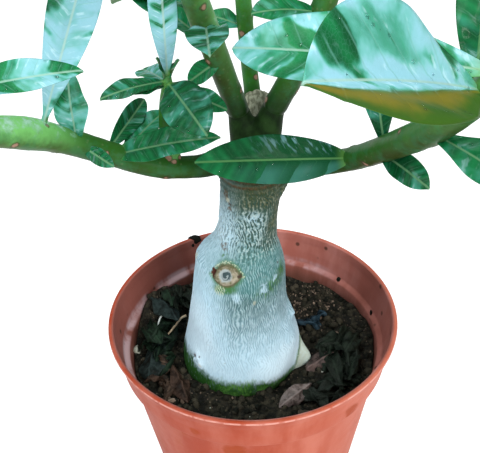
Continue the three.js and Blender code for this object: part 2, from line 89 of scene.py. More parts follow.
# Skin of the trunk: height, centre x, centre y, half width
TRUNK_SECTIONS: Rows = (
    (58, -6, -4, 7), (66, -6, -4, 13), (78, -6.5, -4, 20.5), (88, -7, -4, 25.5), (96, -7, -4, 28),
    (102, -6.4, -4, 28.4), (111.6, -5.2, -4, 27.8), (121.6, -5.4, -4, 25.4), (131, -6.1, -4, 23),
    (140, -5.6, -4, 21.8), (149, -5, -4, 21.1), (155, -4.6, -4, 20.4), (159.7, -4.4, -4, 19.2),
    (163.6, -3.3, -4, 17), (169, -1.8, -4, 14), (174.5, -1.1, -4, 13.1), (180, -0.6, -4, 12.8),
    (185, 0, -4, 12.8), (190, 0.6, -3.6, 13), (195, 1.4, -3, 13.4), (200, 2, -2, 13.4),
    (205, 2.6, -0.6, 12), (210, 3, 0.8, 9),
)

# Swellings of the skin: bearing in degrees, height, rise, half width around, half width up
TRUNK_SWELLINGS: Rows = (
    (180, 165, 2.4, 6, 6), (-8, 130, 1.6, 3.2, 3), (-12, 98, 8, 4.8, 8.5), (-30, 118, 1.4, 6, 10),
    (-145, 104, 1.2, 7, 6), (60, 150, 1.5, 9, 12), (120, 128, 1.6, 10, 14), (-60, 104, 1, 8, 7),
)

# Stem paths: x, y, z, radius. The first point is where the stem leaves the trunk's fork.
STEM_LEFT: Rows = (
    (-14, -0.6, 204.4, 5.3), (-22, -3, 204.2, 4.8), (-38, -8, 208, 4.7), (-56, -12, 217, 4.9),
    (-71, -18, 226.5, 5.3), (-80, -30, 235.5, 6.1), (-89, -44, 244, 5.2), (-97, -57, 254, 4.2),
    (-102, -67, 265, 3),
)
STEM_LEFT_SHOOT: Rows = (
    (-31, -4.6, 212.4, 2.9), (-32.5, -4, 222, 2.5), (-31.5, -6.5, 233, 2.3), (-29.5, -9.5, 242.5, 2.2),
    (-28.8, -10.2, 246.5, 1.5),
)
STEM_RIGHT: Rows = (
    (19, -0.6, 201.5, 5.3), (28, -1.6, 202.5, 4.9), (36, -5, 205.5, 4.8), (43.5, -16, 213.5, 4.8),
    (51.5, -38, 230, 4.9), (57.5, -60, 247, 5.1), (62.5, -76, 263, 5), (67.5, -85, 276, 4.3),
    (72, -90, 288, 2.8),
)
STEM_UP_LEFT: Rows = (
    (-3.6, 4.4, 227, 4.6), (-8.6, -2.6, 246, 4.6), (-13, -11, 264, 4.8), (-17, -19, 281, 4.6),
    (-20, -25, 297, 4.2), (-22, -29, 309, 3),
)
STEM_UP_RIGHT: Rows = (
    (12.4, 3.2, 228.5, 4.9), (18.5, 2, 241, 4.7), (26.5, 3.6, 257, 4.6), (33, 7.5, 274, 4.6),
    (38, 13, 291, 4.3), (41, 18, 306, 3),
)
STEM_BACK: Rows = (
    (3.4, 26.5, 221, 3.6), (2.2, 29, 232, 3.5), (1, 28, 250, 3.4), (0, 26, 269, 3.3),
    (-1, 27, 284, 3.1), (-2, 30, 296, 2.2),
)
# Fork arms of the trunk: the root inside the crown with its radius, and the stem they carry
FORK_ARMS: Sequence[tuple[Row, Rows]] = (
    ((-1, -3, 198, 9.5), STEM_LEFT),
    ((5, -3.5, 193, 10), STEM_RIGHT),
    ((1, 1, 207, 8), STEM_UP_LEFT),
    ((5, 0, 207, 8), STEM_UP_RIGHT),
    ((6, 9, 203, 6), STEM_BACK),
)
SHOOT_SEAT: Rows = (
    (-31, -6.2, 206.2, 4),
    (-31, -5, 210, 3.4),
    STEM_LEFT_SHOOT[0],
)
CUT_STUB: Rows = (
    (5, 4, 202, 7.5), (5, 14, 210, 6.4), (5, 18, 217, 5.9), (5, 20.5, 224.5, 5.7),
)


@dataclass(frozen=True)
class Blade:
    """One leaf: its place on the stem counted in rows, its tip, where its upper side looks, and its form."""

    at: float
    tip: Row
    face: Row
    width: float
    arch: float
    fold: float
    wave: float
    fullest: float = 0.6
    foot: Row | None = None
    # pale: how much painted sky reflection lies on the upper side; below 0 the blade is darker. browned: how
    # much of its near half is olive-brown.
    pale: float = 0.15
    browned: float = 0.0
    turns: float = LEAF_TURNS


@dataclass(frozen=True)
class Rosette:
    """Young leaves round the end of a stem, turned one after another by the golden angle."""

    count: int
    length: float
    width: float
    start: float
    lean: float
    seed: int


class BarkTone(Enum):
    """How green and how old a stem's bark looks."""

    OLIVE = "stem_bark_olive"
    BRIGHT = "stem_bark_bright"


@dataclass(frozen=True)
class BranchPlan:
    """A leafy stem: its node, path, leaves, end rosette and bark."""

    node: str
    rows: Rows
    blades: Sequence[Blade]
    rosette: Rosette
    tone: BarkTone
    scars: int
    droplets: int
    seed: int
    fresh: tuple[float, float] = (0.45, 1.0)


BRANCHES: Sequence[BranchPlan] = (
    BranchPlan(
        "branch_left",
        STEM_LEFT,
        (
            Blade(2.8, (-10, -21.5, 227), (0, -0.7, 1), 13.5, 16, 14, 0.8, 0.45),
            Blade(3, (-43, 18, 226), (0.5, -1, 0.7), 10, 14, 24, 0.5),
            Blade(2.7, (-34, 14, 222), (0, -0.3, 1), 12, 16, 18, 0.6),
            Blade(3.6, (-63, -20, 256), (-0.2, -1, 0.3), 14.5, 14, 14, 1.3, pale=0.55),
            Blade(4.55, (-45, -24, 302), (0.25, -1, 0.55), 17, 12, 12, 0.7, 0.68, pale=1.1),
            Blade(7.7, (-51, -46, 264.5), (0, -0.6, 1), 13, 18, 16, 0.6, pale=0.68),
            Blade(3.55, (-51, -24.5, 217.5), (0.1, -0.9, 0.6), 6.5, 24, 10, 0.3),
        ),
        Rosette(8, 52, 17, 40, 74, 11),
        BarkTone.OLIVE,
        scars=13,
        droplets=60,
        seed=3,
        fresh=(0.42, 0.6),
    ),
    BranchPlan(
        "branch_left_shoot",
        STEM_LEFT_SHOOT,
        (
            Blade(3.7, (-27.5, -12, 292), (0.1, -1, 0.35), 10.5, 10, 14, 0.7, pale=0.95),
            Blade(3.5, (-52.5, -23, 244.5), (0, -0.5, 1), 9, 22, 16, 0.5),
            Blade(3.3, (-42, 13, 241), (0.2, -0.7, 1), 11, 16, 12, 0.5, pale=0.65),
            Blade(3.2, (-43, -15, 243), (0, -0.4, 1), 7, 12, 14, 0.4),
            Blade(3.4, (-13.5, -44, 239.5), (-0.25, -0.7, 1), 18, 26, 10, 0.8),
            Blade(3, (-7, -15, 235), (0, -0.6, 0.9), 9.5, 14, 12, 0.4),
        ),
        Rosette(2, 13, 4, 20, 26, 5),
        BarkTone.BRIGHT,
        scars=3,
        droplets=60,
        seed=5,
    ),
    BranchPlan(
        "branch_right",
        STEM_RIGHT,
        (
            Blade(2.85, (-20, -25, 218.5), (0.05, -0.78, 0.62), 19.5, 8, 8, 0.6, 0.52, pale=-0.6),
            Blade(3.6, (63, -49, 218.5), (-0.3, -0.6, 0.8), 11, 20, 18, 0.8),
            Blade(4.9, (84, -97, 238), (0.1, -0.6, 0.9), 17, 20, 14, 0.8),
            Blade(6.1, (68, -54, 306), (-0.4, -1, 0.3), 15, 10, 12, 0.7, pale=0.05),
            Blade(3.75, (44, -18, 258), (0.2, -1, 0.5), 12, 16, 14, 0.6),
            Blade(6.9, (-3.5, -51, 272), (0, -0.8, 1), 25, 14, 14, 0.8, pale=0.62),
            Blade(6.35, (10.5, -136, 296), (0.15, -0.62, 0.85), 36, 12, 25, 0.9, 0.66, pale=0.85, browned=1),
            Blade(6.7, (121, -78, 286), (0, -0.2, 1), 20, 20, 14, 0.9),
            Blade(7.3, (112, -124, 300), (-0.5, 0, 1), 18, 20, 14, 0.8),
            Blade(7.5, (96, -56, 318), (-0.5, -0.6, 1), 17, 18, 14, 0.8),
        ),
        Rosette(3, 34, 11, 10, 24, 23),
        BarkTone.OLIVE,
        scars=12,
        droplets=40,
        seed=7,
    ),
    BranchPlan(
        "branch_up_left",
        STEM_UP_LEFT,
        (
            Blade(1.4, (-21.5, -8, 243.5), (0.2, -1, 0.9), 8.5, 16, 20, 0.4, foot=(-7, -7, 253)),
            Blade(2.1, (-10.5, -52, 270.5), (0, -0.5, 1), 15, 20, 16, 0.7, pale=0.55),
            Blade(1.6, (-47, 16, 276), (0, -0.5, 1), 12, 14, 16, 0.6),
            Blade(2.4, (-52, 22, 266), (0, 0.1, 1), 12, 40, 10, 0.6),
        ),
        Rosette(8, 54, 18, 0, 70, 31),
        BarkTone.OLIVE,
        scars=9,
        droplets=24,
        seed=11,
        fresh=(0.0, 1.1),
    ),
    BranchPlan(
        "branch_up_right",
        STEM_UP_RIGHT,
        (
            Blade(2.4, (3, -6, 268), (0, -0.5, 1), 14, 30, 14, 0.6),
            Blade(2.8, (66, 34, 284), (0, -0.2, 1), 18, 24, 16, 0.7),
        ),
        Rosette(8, 54, 18, 60, 66, 47),
        BarkTone.OLIVE,
        scars=9,
        droplets=20,
        seed=13,
    ),
    BranchPlan(
        "branch_back",
        STEM_BACK,
        (Blade(2.1, (-15, 33, 256), (0.2, -0.7, 1), 10, 16, 16, 0.4),),
        Rosette(6, 34, 12, 95, 58, 59),
        BarkTone.BRIGHT,
        scars=7,
        droplets=12,
        seed=17,
    ),
)

YOUNG_ARCH = 26.0
YOUNG_FOLD = 14.0
YOUNG_WAVE = 0.8
TURN_PLAY = 16.0
LEAN_PLAY = 8.0

# Fallen leaves on the soil: foot, tip, where the upper side looks, and the curl
DRY_LEAVES: Sequence[Blade] = (
    Blade(0, (-51, -24), (-0.3, 0, 1), 17, 50, -24, 1.6, foot=(-47, 3), turns=1.6),
    Blade(0, (-38, 8), (0.4, 0.2, 1), 15, 50, -26, 1.4, foot=(-54, 27), turns=1.6),
    Blade(0, (-31, -38), (0.3, 0, 1), 11, 40, -30, 1.5, foot=(-40.5, -14), turns=1.6),
    Blade(0, (11, -42), (0.2, -0.5, 1), 10, 90, -30, 1.2, foot=(27, -28), turns=1.6),
    Blade(0, (25, -20), (0, -0.3, 1), 10, 60, -28, 1.3, foot=(43, -8), turns=1.6),
    Blade(0, (50, -20), (0.3, 0, 1), 10, 50, -30, 1.3, foot=(49, 6), turns=1.6),
)


# Numbers, noise and curves

LEHMER_FACTOR = 16807
LEHMER_PRIME = 2147483647
FRACTAL_RANGE = 1.6
AXIS_SAMPLES = 400


def seeded(seed: int) -> Iterator[float]:
    """Yields the same numbers from 0 to 1 each time, by a Lehmer generator.

    Args:
        seed: The first state.

    Returns:
        An endless iterator of numbers.
    """
    state = seed
    while True:
        state = (state * LEHMER_FACTOR) % LEHMER_PRIME
        yield state / LEHMER_PRIME


def along(rows: Rows, place: float) -> Array:
    """Catmull-Rom through rows of numbers.

    Args:
        rows: The rows that the curve passes.
        place: A place counted in rows.

    Returns:
        The row of numbers at that place.
    """
    last = len(rows) - 1
    i = min(int(place), last - 1)
    f = place - i
    a, b, c, d = (np.array(rows[k], float) for k in (max(i - 1, 0), i, i + 1, min(i + 2, last)))
    slope = (c - a) / 2
    following = (d - b) / 2
    rise = c - b
    bow = 3 * rise - 2 * slope - following
    turn = slope + following - 2 * rise
    return b + f * (slope + f * (bow + f * turn))


def unit(vector: Array) -> Array:
    """The vector at length 1."""
    return vector / np.linalg.norm(vector)


def ramp(low: float, high: float, values: Array) -> Array:
    """0 below low, 1 above high, and an eased ramp between them."""
    share = np.clip((values - low) / (high - low), 0, 1)
    return share * share * (3 - 2 * share)


def hill(distance: Array, width: float) -> Array:
    """A bell of height 1 over distance, with that half width."""
    return np.exp(-((distance / width) ** 2))


CELL_PRIMES = np.array([73856093, 19349663, 83492791], np.int64)
SEED_PRIME = 2654435761
MIX_PRIME = 1274126177
LOW_BITS = 0x7FFFFFFF


def cell_value(cells: Array, seed: int) -> Array:
    """A number from 0 to 1 for each whole-numbered cell, the same each time.

    Args:
        cells: Rows of three whole numbers.
        seed: Picks one set of numbers of many.

    Returns:
        A number for each row.
    """
    mixed = ((cells * CELL_PRIMES).sum(1) + seed * SEED_PRIME) & LOW_BITS
    mixed = ((mixed ^ (mixed >> 13)) * MIX_PRIME) & LOW_BITS
    mixed = (mixed ^ (mixed >> 16)) & LOW_BITS
    mixed = (mixed * MIX_PRIME) & LOW_BITS
    return (mixed ^ (mixed >> 15)) / LOW_BITS


def lattice_noise(points: Array, seed: int) -> Array:
    """Smooth noise from 0 to 1.

    Args:
        points: Points, with one cell of noise to a unit.
        seed: Picks one noise of many.

    Returns:
        A value for each point.
    """
    base = np.floor(points).astype(np.int64)
    part = points - base
    ease = part * part * (3 - 2 * part)
    total = np.zeros(len(points))
    for corner in range(8):
        offset = np.array([corner & 1, corner >> 1 & 1, corner >> 2 & 1])
        weight = np.where(offset == 1, ease, 1 - ease).prod(1)
        total += weight * cell_value(base + offset, seed)
    return total


def fractal(points: Array, seed: int, octaves: int = 3) -> Array:
    """Noise with finer noise on it, from about -1 to 1.

    Args:
        points: Points, with one cell of the coarsest noise to a unit.
        seed: Picks one noise of many.
        octaves: How many noises lie on each other.

    Returns:
        A value for each point.
    """
    total = np.zeros(len(points))
    for octave in range(octaves):
        total += (lattice_noise(points * 2**octave, seed + octave) * 2 - 1) / 2**octave
    return total / FRACTAL_RANGE


def cell_seams(points: Array, seed: int) -> Array:
    """How far each point is from the seams of a crackle of cells: 0 on a seam, about 1 inside a cell.

    Args:
        points: Points, with one cell to a unit.
        seed: Picks one crackle of many.

    Returns:
        A distance for each point, in cells.
    """
    base = np.floor(points).astype(np.int64)
    nearest = np.full(len(points), 9.0)
    second = np.full(len(points), 9.0)
    for shift in np.ndindex(3, 3, 3):
        cell = base + np.array(shift) - 1
        spot = np.stack([cell_value(cell, seed + k) for k in range(3)], 1)
        distance = np.linalg.norm(cell + spot - points, axis=1)
        second = np.where(distance < nearest, nearest, np.minimum(second, distance))
        nearest = np.minimum(nearest, distance)
    return second - nearest


# Meshes


@dataclass
class Skin:
    """Points in millimetres, the faces over them, and values that the finish reads at each point."""

    points: Array
    faces: list[list[int]]
    values: dict[str, Array] = field(default_factory=dict)

    def filled_out(self, values: dict[str, float | Row]) -> "Skin":
        """This skin with more values, each the same at every point.

        Args:
            values: A number or a row of numbers by name.

        Returns:
            The skin itself.
        """
        for name, value in values.items():
            self.values[name] = np.tile(np.asarray(value, float), (len(self.points), 1)).squeeze()
        return self


def join_skins(skins: Sequence[Skin]) -> Skin:
    """All the skins as one, in their order.

    Args:
        skins: Skins that hold values of the same names.

    Returns:
        One skin.
    """
    points: list[Array] = []
    faces: list[list[int]] = []
    start = 0
    for skin in skins:
        faces += [[corner + start for corner in face] for face in skin.faces]
        points.append(skin.points)
        start += len(skin.points)
    names = skins[0].values
    values = {name: np.concatenate([skin.values[name] for skin in skins]) for name in names}
    return Skin(np.concatenate(points), faces, values)


def loft(rings: Array) -> Skin:
    """A closed skin over rings of points, with a flat lid at each end.

    Args:
        rings: Points by ring, by place round the ring, by x, y and z.

    Returns:
        The skin, with its faces pointing out.
    """
    count, sides = rings.shape[:2]
    index = np.arange(count * sides).reshape(count, sides)
    beside = np.roll(index, -1, axis=1)
    quads = np.stack([index[:-1], beside[:-1], beside[1:], index[1:]], -1).reshape(-1, 4).tolist()
    lids = [index[0, ::-1].tolist(), index[-1].tolist()]
    return Skin(rings.reshape(-1, 3), quads + lids)


def numbers(items: bpy.types.bpy_prop_collection, key: str, width: int, kind: type = np.float32) -> Array:
    """Reads a row of numbers off each point, edge or triangle of a mesh.

    Args:
        items: The points, edges or triangles.
        key: What is read.
        width: How many numbers are in a row.
        kind: The numbers' type.

    Returns:
        The rows.
    """
    held = np.zeros(len(items) * width, kind)
    items.foreach_get(key, held)
    return held.reshape(-1, width)


def signed_volume(mesh: Mesh) -> float:
    """The volume within a closed mesh, negative where its faces point in.

    Args:
        mesh: The mesh.

    Returns:
        Its volume in cubic metres.
    """
    mesh.calc_loop_triangles()
    corners = numbers(mesh.loop_triangles, "vertices", 3, np.int32)
    a, b, c = numbers(mesh.vertices, "co", 3)[corners.T]
    return float((a * np.cross(b, c)).sum() / 6)


def mesh_points(mesh: Mesh) -> Array:
    """The mesh's points, in millimetres."""
    return numbers(mesh.vertices, "co", 3).astype(float) / MM


def mesh_normals(mesh: Mesh) -> Array:
    """The normal at each point of the mesh."""
    return numbers(mesh.vertex_normals, "vector", 3).astype(float)


def set_points(mesh: Mesh, points: Array) -> None:
    """Moves the mesh's points to these places in millimetres."""
    mesh.vertices.foreach_set("co", (points * MM).astype(np.float32).ravel())
    mesh.update()


def write_values(mesh: Mesh, values: dict[str, Array]) -> None:
    """Stores values at the mesh's points, a number or a vector each.

    Args:
        mesh: The mesh.
        values: A number or a vector for each point, by name.
    """
    for name, held in values.items():
        kind, key = ("FLOAT", "value") if held.ndim == 1 else ("FLOAT_VECTOR", "vector")
        attribute = mesh.attributes.new(name, kind, "POINT")
        attribute.data.foreach_set(key, held.astype(np.float32).ravel())


def new_object(name: str, data: bpy.types.ID) -> Object:
    """An object with this data, linked to the scene.

    Args:
        name: Its name.
        data: Its mesh, light or camera.

    Returns:
        The object.
    """
    made = bpy.data.objects.new(name, data)
    bpy.context.scene.collection.objects.link(made)
    return made


def make_object(name: str, skin: Skin, material: Material | None = None) -> Object:
    """Makes an object at the origin from a skin.

    Args:
        name: The piece's name.
        skin: Its points, faces and values.
        material: Its finish.

    Returns:
        The object, linked to the scene and smoothly shaded.
    """
    mesh = bpy.data.meshes.new(name)
    mesh.from_pydata((skin.points * MM).tolist(), [], skin.faces)
    mesh.shade_smooth()
    write_values(mesh, skin.values)
    if signed_volume(mesh) < 0:
        mesh.flip_normals()
    if material:
        mesh.materials.append(material)
    return new_object(name, mesh)


def baked_mesh(piece: Object) -> None:
    """Turns the result of the piece's modifiers into its own plain mesh.

    Args:
        piece: The piece, which loses its modifiers.
    """
    graph = bpy.context.evaluated_depsgraph_get()
    result = piece.evaluated_get(graph)
    made = bpy.data.meshes.new_from_object(result, preserve_all_data_layers=True, depsgraph=graph)
    piece.modifiers.clear()
    before = piece.data
    piece.data = made
    bpy.data.meshes.remove(before)


def place_piece(piece: Object, nodes: Sequence[str] = ()) -> Object:
    """Lets a finished piece ride on the plant's body and hides the nodes it stands for.

    Args:
        piece: The piece.
        nodes: The solids that it stands for.

    Returns:
        The piece.
    """
    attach(piece, BODY)
    if nodes:
        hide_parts(*nodes)
    triangles = sum(len(face.vertices) - 2 for face in piece.data.polygons)
    log.info("%s: %d triangles, stands for %s", piece.name, triangles, ", ".join(nodes) or "no node")
    return piece


def add_piece(name: str, skin: Skin, finish: "Finish", nodes: Sequence[str] = ()) -> Object:
    """Makes a piece from a skin and a finish, and lets it ride on the body."""
    return place_piece(make_object(name, skin, finish.material), nodes)


# Shapes that grow


def set_off(rows: Rows) -> Array:
    """The way a stem sets off from its first point."""
    return unit(along(rows, SET_OFF_PLACE)[:3] - np.array(rows[0][:3], float))


def stem_rings(rows: Rows, steps: int, sides: int, carried: Rows | None = None) -> Array:
    """Rings round a stem, whose section frame is carried along without twist.

    Args:
        rows: x, y, z and radius along the stem.
        steps: How many rings there are, less one.
        sides: Points to a ring.
        carried: The stem that this one carries, to whose way off it ends square.

    Returns:
        The rings' points.
    """
    samples = [along(rows, place) for place in np.linspace(0, len(rows) - 1, steps + 1)]
    across: Array | None = None
    rings = []
    turns = round_turns(sides)
    for i, row in enumerate(samples):
        forward = unit(samples[min(i + 1, steps)][:3] - samples[max(i - 1, 0)][:3])
        if i == 0:
            forward = set_off(rows)
        if i == steps and carried is not None:
            forward = set_off(carried)
        if across is None:
            across = unit(np.cross([0, -1, 0], forward))
        across = unit(across - forward * across.dot(forward))
        up = np.cross(forward, across)
        ring = np.outer(np.cos(turns), across) + np.outer(np.sin(turns), up)
        rings.append(row[:3] + row[3] * ring)
    return np.array(rings)


def half_width(s: Array, width: float, fullest: float) -> Array:
    """Half width of a blade at s, from 0 at its foot to 1 at its tip.

    Args:
        s: The places.
        width: The blade's full width.
        fullest: Where it is widest.

    Returns:
        A half width for each place.
    """
    growth = TIP_TAPER * fullest / (1 - fullest)
    blade = (s / fullest) ** growth * ((1 - s) / (1 - fullest)) ** TIP_TAPER
    least = PETIOLE_HALF_WIDTH + (TIP_HALF_WIDTH - PETIOLE_HALF_WIDTH) * s
    return np.maximum(least, width / 2 * blade)


def stacked(*columns: Array | float) -> Array:
    """Rows of three numbers from columns that are spread over the same grid."""
    return np.stack(np.broadcast_arrays(*columns), -1).reshape(-1, 3)


@dataclass(frozen=True)
class LeafForm:
    """How finely a leaf is made, how thick it is and how its veins press into it, in millimetres."""

    grain: float = 0.75
    fewest_steps: int = 18
    most_steps: int = 120
    across: int = 9
    midrib: float = 1.15
    edge: float = 0.42
    vein_pitch: float = 0.3
    least_pitch: float = 2.6
    most_pitch: float = 8.5
    side_shift: float = 0.31
    vein_rake: float = 0.62
    vein_depth: float = 0.07
    vein_width: float = 0.5
    pucker: float = 0.1
    groove_depth: float = 0.34
    groove_width: float = 0.8
    crumple: float = 0.0
    crumple_size: float = 3.1
    crumple_seed: int = 40


def leaf_skin(
    blade: Blade, foot: Array, tip: Array, face: Array, phase: int, form: LeafForm
) -> Skin:
    """One blade: folded along the midrib, arched, waved at its edges, and pressed in along its veins.

    Args:
        blade: The leaf's form.
        foot: Where it starts.
        tip: Where it ends.
        face: Where its upper side looks.
        phase: Its number on the stem, which shifts the waves.
        form: How finely and thickly it is made.

    Returns:
        The skin. "blade_place" holds the millimetres from the midrib, the count of side veins and the
        leaf's number. "blade_share" holds the share across, the share along and the side.
    """
    chord = tip - foot
    length = float(np.linalg.norm(chord))
    forward = chord / length
    normal = unit(face - forward * face.dot(forward))
    side = np.cross(normal, forward)
    bend = math.radians(blade.arch)
    radius = length / (2 * math.sin(bend / 2))
    tilt = math.radians(blade.fold)
    steps = int(np.clip(length / form.grain, form.fewest_steps, form.most_steps))
    s = (1 - np.cos(np.linspace(0, math.pi, steps + 1))) / 2 * 0.5 + np.linspace(0, 1, steps + 1) * 0.5
    angle = bend * (s - 0.5)
    centre = (
        foot
        + np.outer(radius * (np.sin(angle) + math.sin(bend / 2)), forward)
        + np.outer(radius * (np.cos(angle) - math.cos(bend / 2)), normal)
    )
    up = np.outer(np.cos(angle), normal) + np.outer(np.sin(angle), forward)
    half = half_width(s, blade.width, blade.fullest)
    spread = np.sin(np.linspace(-1, 1, 2 * form.across + 1) * math.pi / 2)
    spread = (spread + np.linspace(-1, 1, 2 * form.across + 1)) / 2
    v = np.concatenate([spread[::-1], spread])
    top = np.concatenate([np.ones_like(spread), -np.ones_like(spread)])
    edge = np.abs(v)
    s = s[:, None]
    half = half[:, None]
    wide = half * edge
    down_leaf = s * length
    ripple = blade.wave * edge * np.sin(math.pi * s) * np.sin(TAU * blade.turns * s + phase * v)
    pitch = min(max(form.vein_pitch * blade.width, form.least_pitch), form.most_pitch)
    place = (down_leaf - form.vein_rake * wide) / pitch + form.side_shift * np.sign(v)
    to_vein = np.abs(place - np.round(place)) * pitch
    blade_part = ramp(1.4, 3.2, half) * ramp(0.02, 0.12, 1 - edge)
    press = form.vein_depth * hill(to_vein, form.vein_width) * blade_part
    uneven = 0.5 + 0.5 * np.sin(2.7 * place + 1.9 * np.sign(v) + phase)
    press += form.pucker * uneven * pitch / 5 * np.cos(TAU * place) * blade_part * edge**0.5
    press += form.groove_depth * hill(wide, form.groove_width) * ramp(0, 0.15, s)
    thick = form.edge + (form.midrib - form.edge) * (1 - edge) ** 1.6
    thick = thick * (0.35 + 0.65 * ramp(0, 0.16, 1 - edge))
    lift = wide * math.sin(tilt) + ripple - press + top * thick / 2
    aside = half * v
    if form.crumple:
        spots = stacked(down_leaf, aside, 0.0) / form.crumple_size
        lift = lift + form.crumple * fractal(spots, form.crumple_seed + phase).reshape(lift.shape)
    skin = loft(centre[:, None] + side * (aside * math.cos(tilt))[..., None] + up[:, None] * lift[..., None])
    skin.values["blade_place"] = stacked(aside, place, float(phase))
    skin.values["blade_share"] = stacked(v, s, top < 0)
    return skin


def round_turns(sides: int) -> Array:
    """Even bearings round a circle, in radians."""
    return np.arange(sides) / sides * TAU


def ring_at(x: float, y: float, z: float | Array, reach: float | Array, turns: Array) -> Array:
    """A level ring of points round x, y at height z."""
    return np.stack([x + reach * np.cos(turns), y + reach * np.sin(turns), z + np.zeros(len(turns))], 1)


def from_segment(points: Array, start: Row, end: Row, most: float = 1.0) -> Array:
    """How far each point is from a segment, which may go on beyond its end.

    Args:
        points: The points.
        start: One end of the segment.
        end: Its other end.
        most: How long it is taken to be, as a share of its length.

    Returns:
        A distance for each point.
    """
    start = np.array(start)
    toward = np.array(end) - start
    share = np.clip((points - start) @ toward / (toward @ toward), 0, most)
    return np.linalg.norm(points - start - share[:, None] * toward, axis=1)


def trunk_axis(z: Array) -> Array:
    """Centre x, centre y and half width of the trunk at each height, as columns.

    Args:
        z: The heights.

    Returns:
        A row for each height.
    """
    places = np.linspace(0, len(TRUNK_SECTIONS) - 1, AXIS_SAMPLES)
    rows = np.array([along(TRUNK_SECTIONS, place) for place in places])
    return np.stack([np.interp(z, rows[:, 0], rows[:, k]) for k in (1, 2, 3)], 1)


def trunk_polar(points: Array) -> tuple[Array, Array, Array]:
    """Bearing in degrees round the trunk, half width there, and distance off the trunk's centre line.

    Args:
        points: Places near the trunk.

    Returns:
        The three numbers, each for every point.
    """
    axis = trunk_axis(points[:, 2])
    dx, dy = (points[:, :2] - axis[:, :2]).T
    return np.degrees(np.arctan2(dy, dx)), axis[:, 2], np.hypot(dx, dy)


def arc_from(bearing: Array, towards: float, radius: Array) -> Array:
    """Arc length in millimetres from one bearing to each point's bearing."""
    return np.radians((bearing - towards + 540) % 360 - 180) * radius


def trunk_ring(row: Row, turns: Array, grown: float = 0.0) -> Array:
    """A ring of points round the trunk, with the swellings of its skin.

    Args:
        row: Height, centre x, centre y and half width.
        turns: The bearing of each point, in radians.
        grown: How far the points lie outside the skin.

    Returns:
        The points.
    """
    z, x, y, radius = row
    reach = np.full(len(turns), radius + grown)
    for towards, height, rise, around, high in TRUNK_SWELLINGS:
        arc = arc_from(np.degrees(turns), towards, radius)
        reach += rise * np.exp(-((arc / around) ** 2) - ((z - height) / high) ** 2)
    return ring_at(x, y, z, reach, turns)


def soil_height(x: Array, y: Array) -> Array:
    """Height of the soil's top: a level with ripples, piled up against the wall in two places.

    Args:
        x: Places across.
        y: Places in depth.

    Returns:
        A height for each place.
    """
    ripples = (
        1.1 * np.sin(x / 4.1 + 1.3 * np.sin(y / 6.3)) * np.sin(y / 4.7 + 0.8)
        + 0.8 * np.sin(x / 9.7 - y / 7.9 + 2)
        + 0.7 * np.sin(y / 11 + x / 23)
    )
    piles = sum(
        rise * np.exp(-(((x - cx) / wide) ** 2) - (((y - cy) / deep) ** 2))
        for cx, cy, rise, wide, deep in SOIL_PILES
    )
    return SOIL_LEVEL + ripples + piles


def pot_inside(z: float | Array) -> float | Array:
    """Inner radius of the pot's tapered wall."""
    return FOOT_RADIUS + (BODY_RADIUS - FOOT_RADIUS) * z / (POT_HEIGHT - COLLAR_HEIGHT) - POT_WALL


# Shader and geometry trees


class Flow:
    """A number, vector or colour on its way through a tree, whose sums and products are math nodes."""

    def __init__(self, tree: "Tree", socket: NodeSocket) -> None:
        """Keeps the socket that it comes out of."""
        self.tree = tree
        self.socket = socket

    def __add__(self, other: "Input") -> "Flow":
        """The sum."""
        return self.tree.math("ADD", self, other)

    def __sub__(self, other: "Input") -> "Flow":
        """The difference."""
        return self.tree.math("SUBTRACT", self, other)

    def __rsub__(self, other: float) -> "Flow":
        """The difference from a number."""
        return self.tree.math("SUBTRACT", other, self)

    def __mul__(self, other: "Input") -> "Flow":
        """The product."""
        return self.tree.math("MULTIPLY", self, other)

    def __truediv__(self, other: "Input") -> "Flow":
        """The quotient."""
        return self.tree.math("DIVIDE", self, other)

    def __pow__(self, power: float) -> "Flow":
        """The power."""
        return self.tree.math("POWER", self, power)

    def __abs__(self) -> "Flow":
        """The number without its sign."""
        return self.tree.math("ABSOLUTE", self)

    def ease(self, low: "Input", high: "Input", start: float = 0.0, end: float = 1.0) -> "Flow":
        """An eased ramp from start, where this is low, to end, where it is high."""
        inputs = {"Value": self, "From Min": low, "From Max": high, "To Min": start, "To Max": end}
        return self.tree.out("ShaderNodeMapRange", inputs, interpolation_type="SMOOTHSTEP")


Input = Flow | float | Row
Feeds = dict[str | int, Input]


def live(sockets: bpy.types.bpy_prop_collection) -> NodeSocket:
    """The socket called Value that the node's settings have switched on."""
    return next(socket for socket in sockets if socket.name == "Value" and socket.enabled)


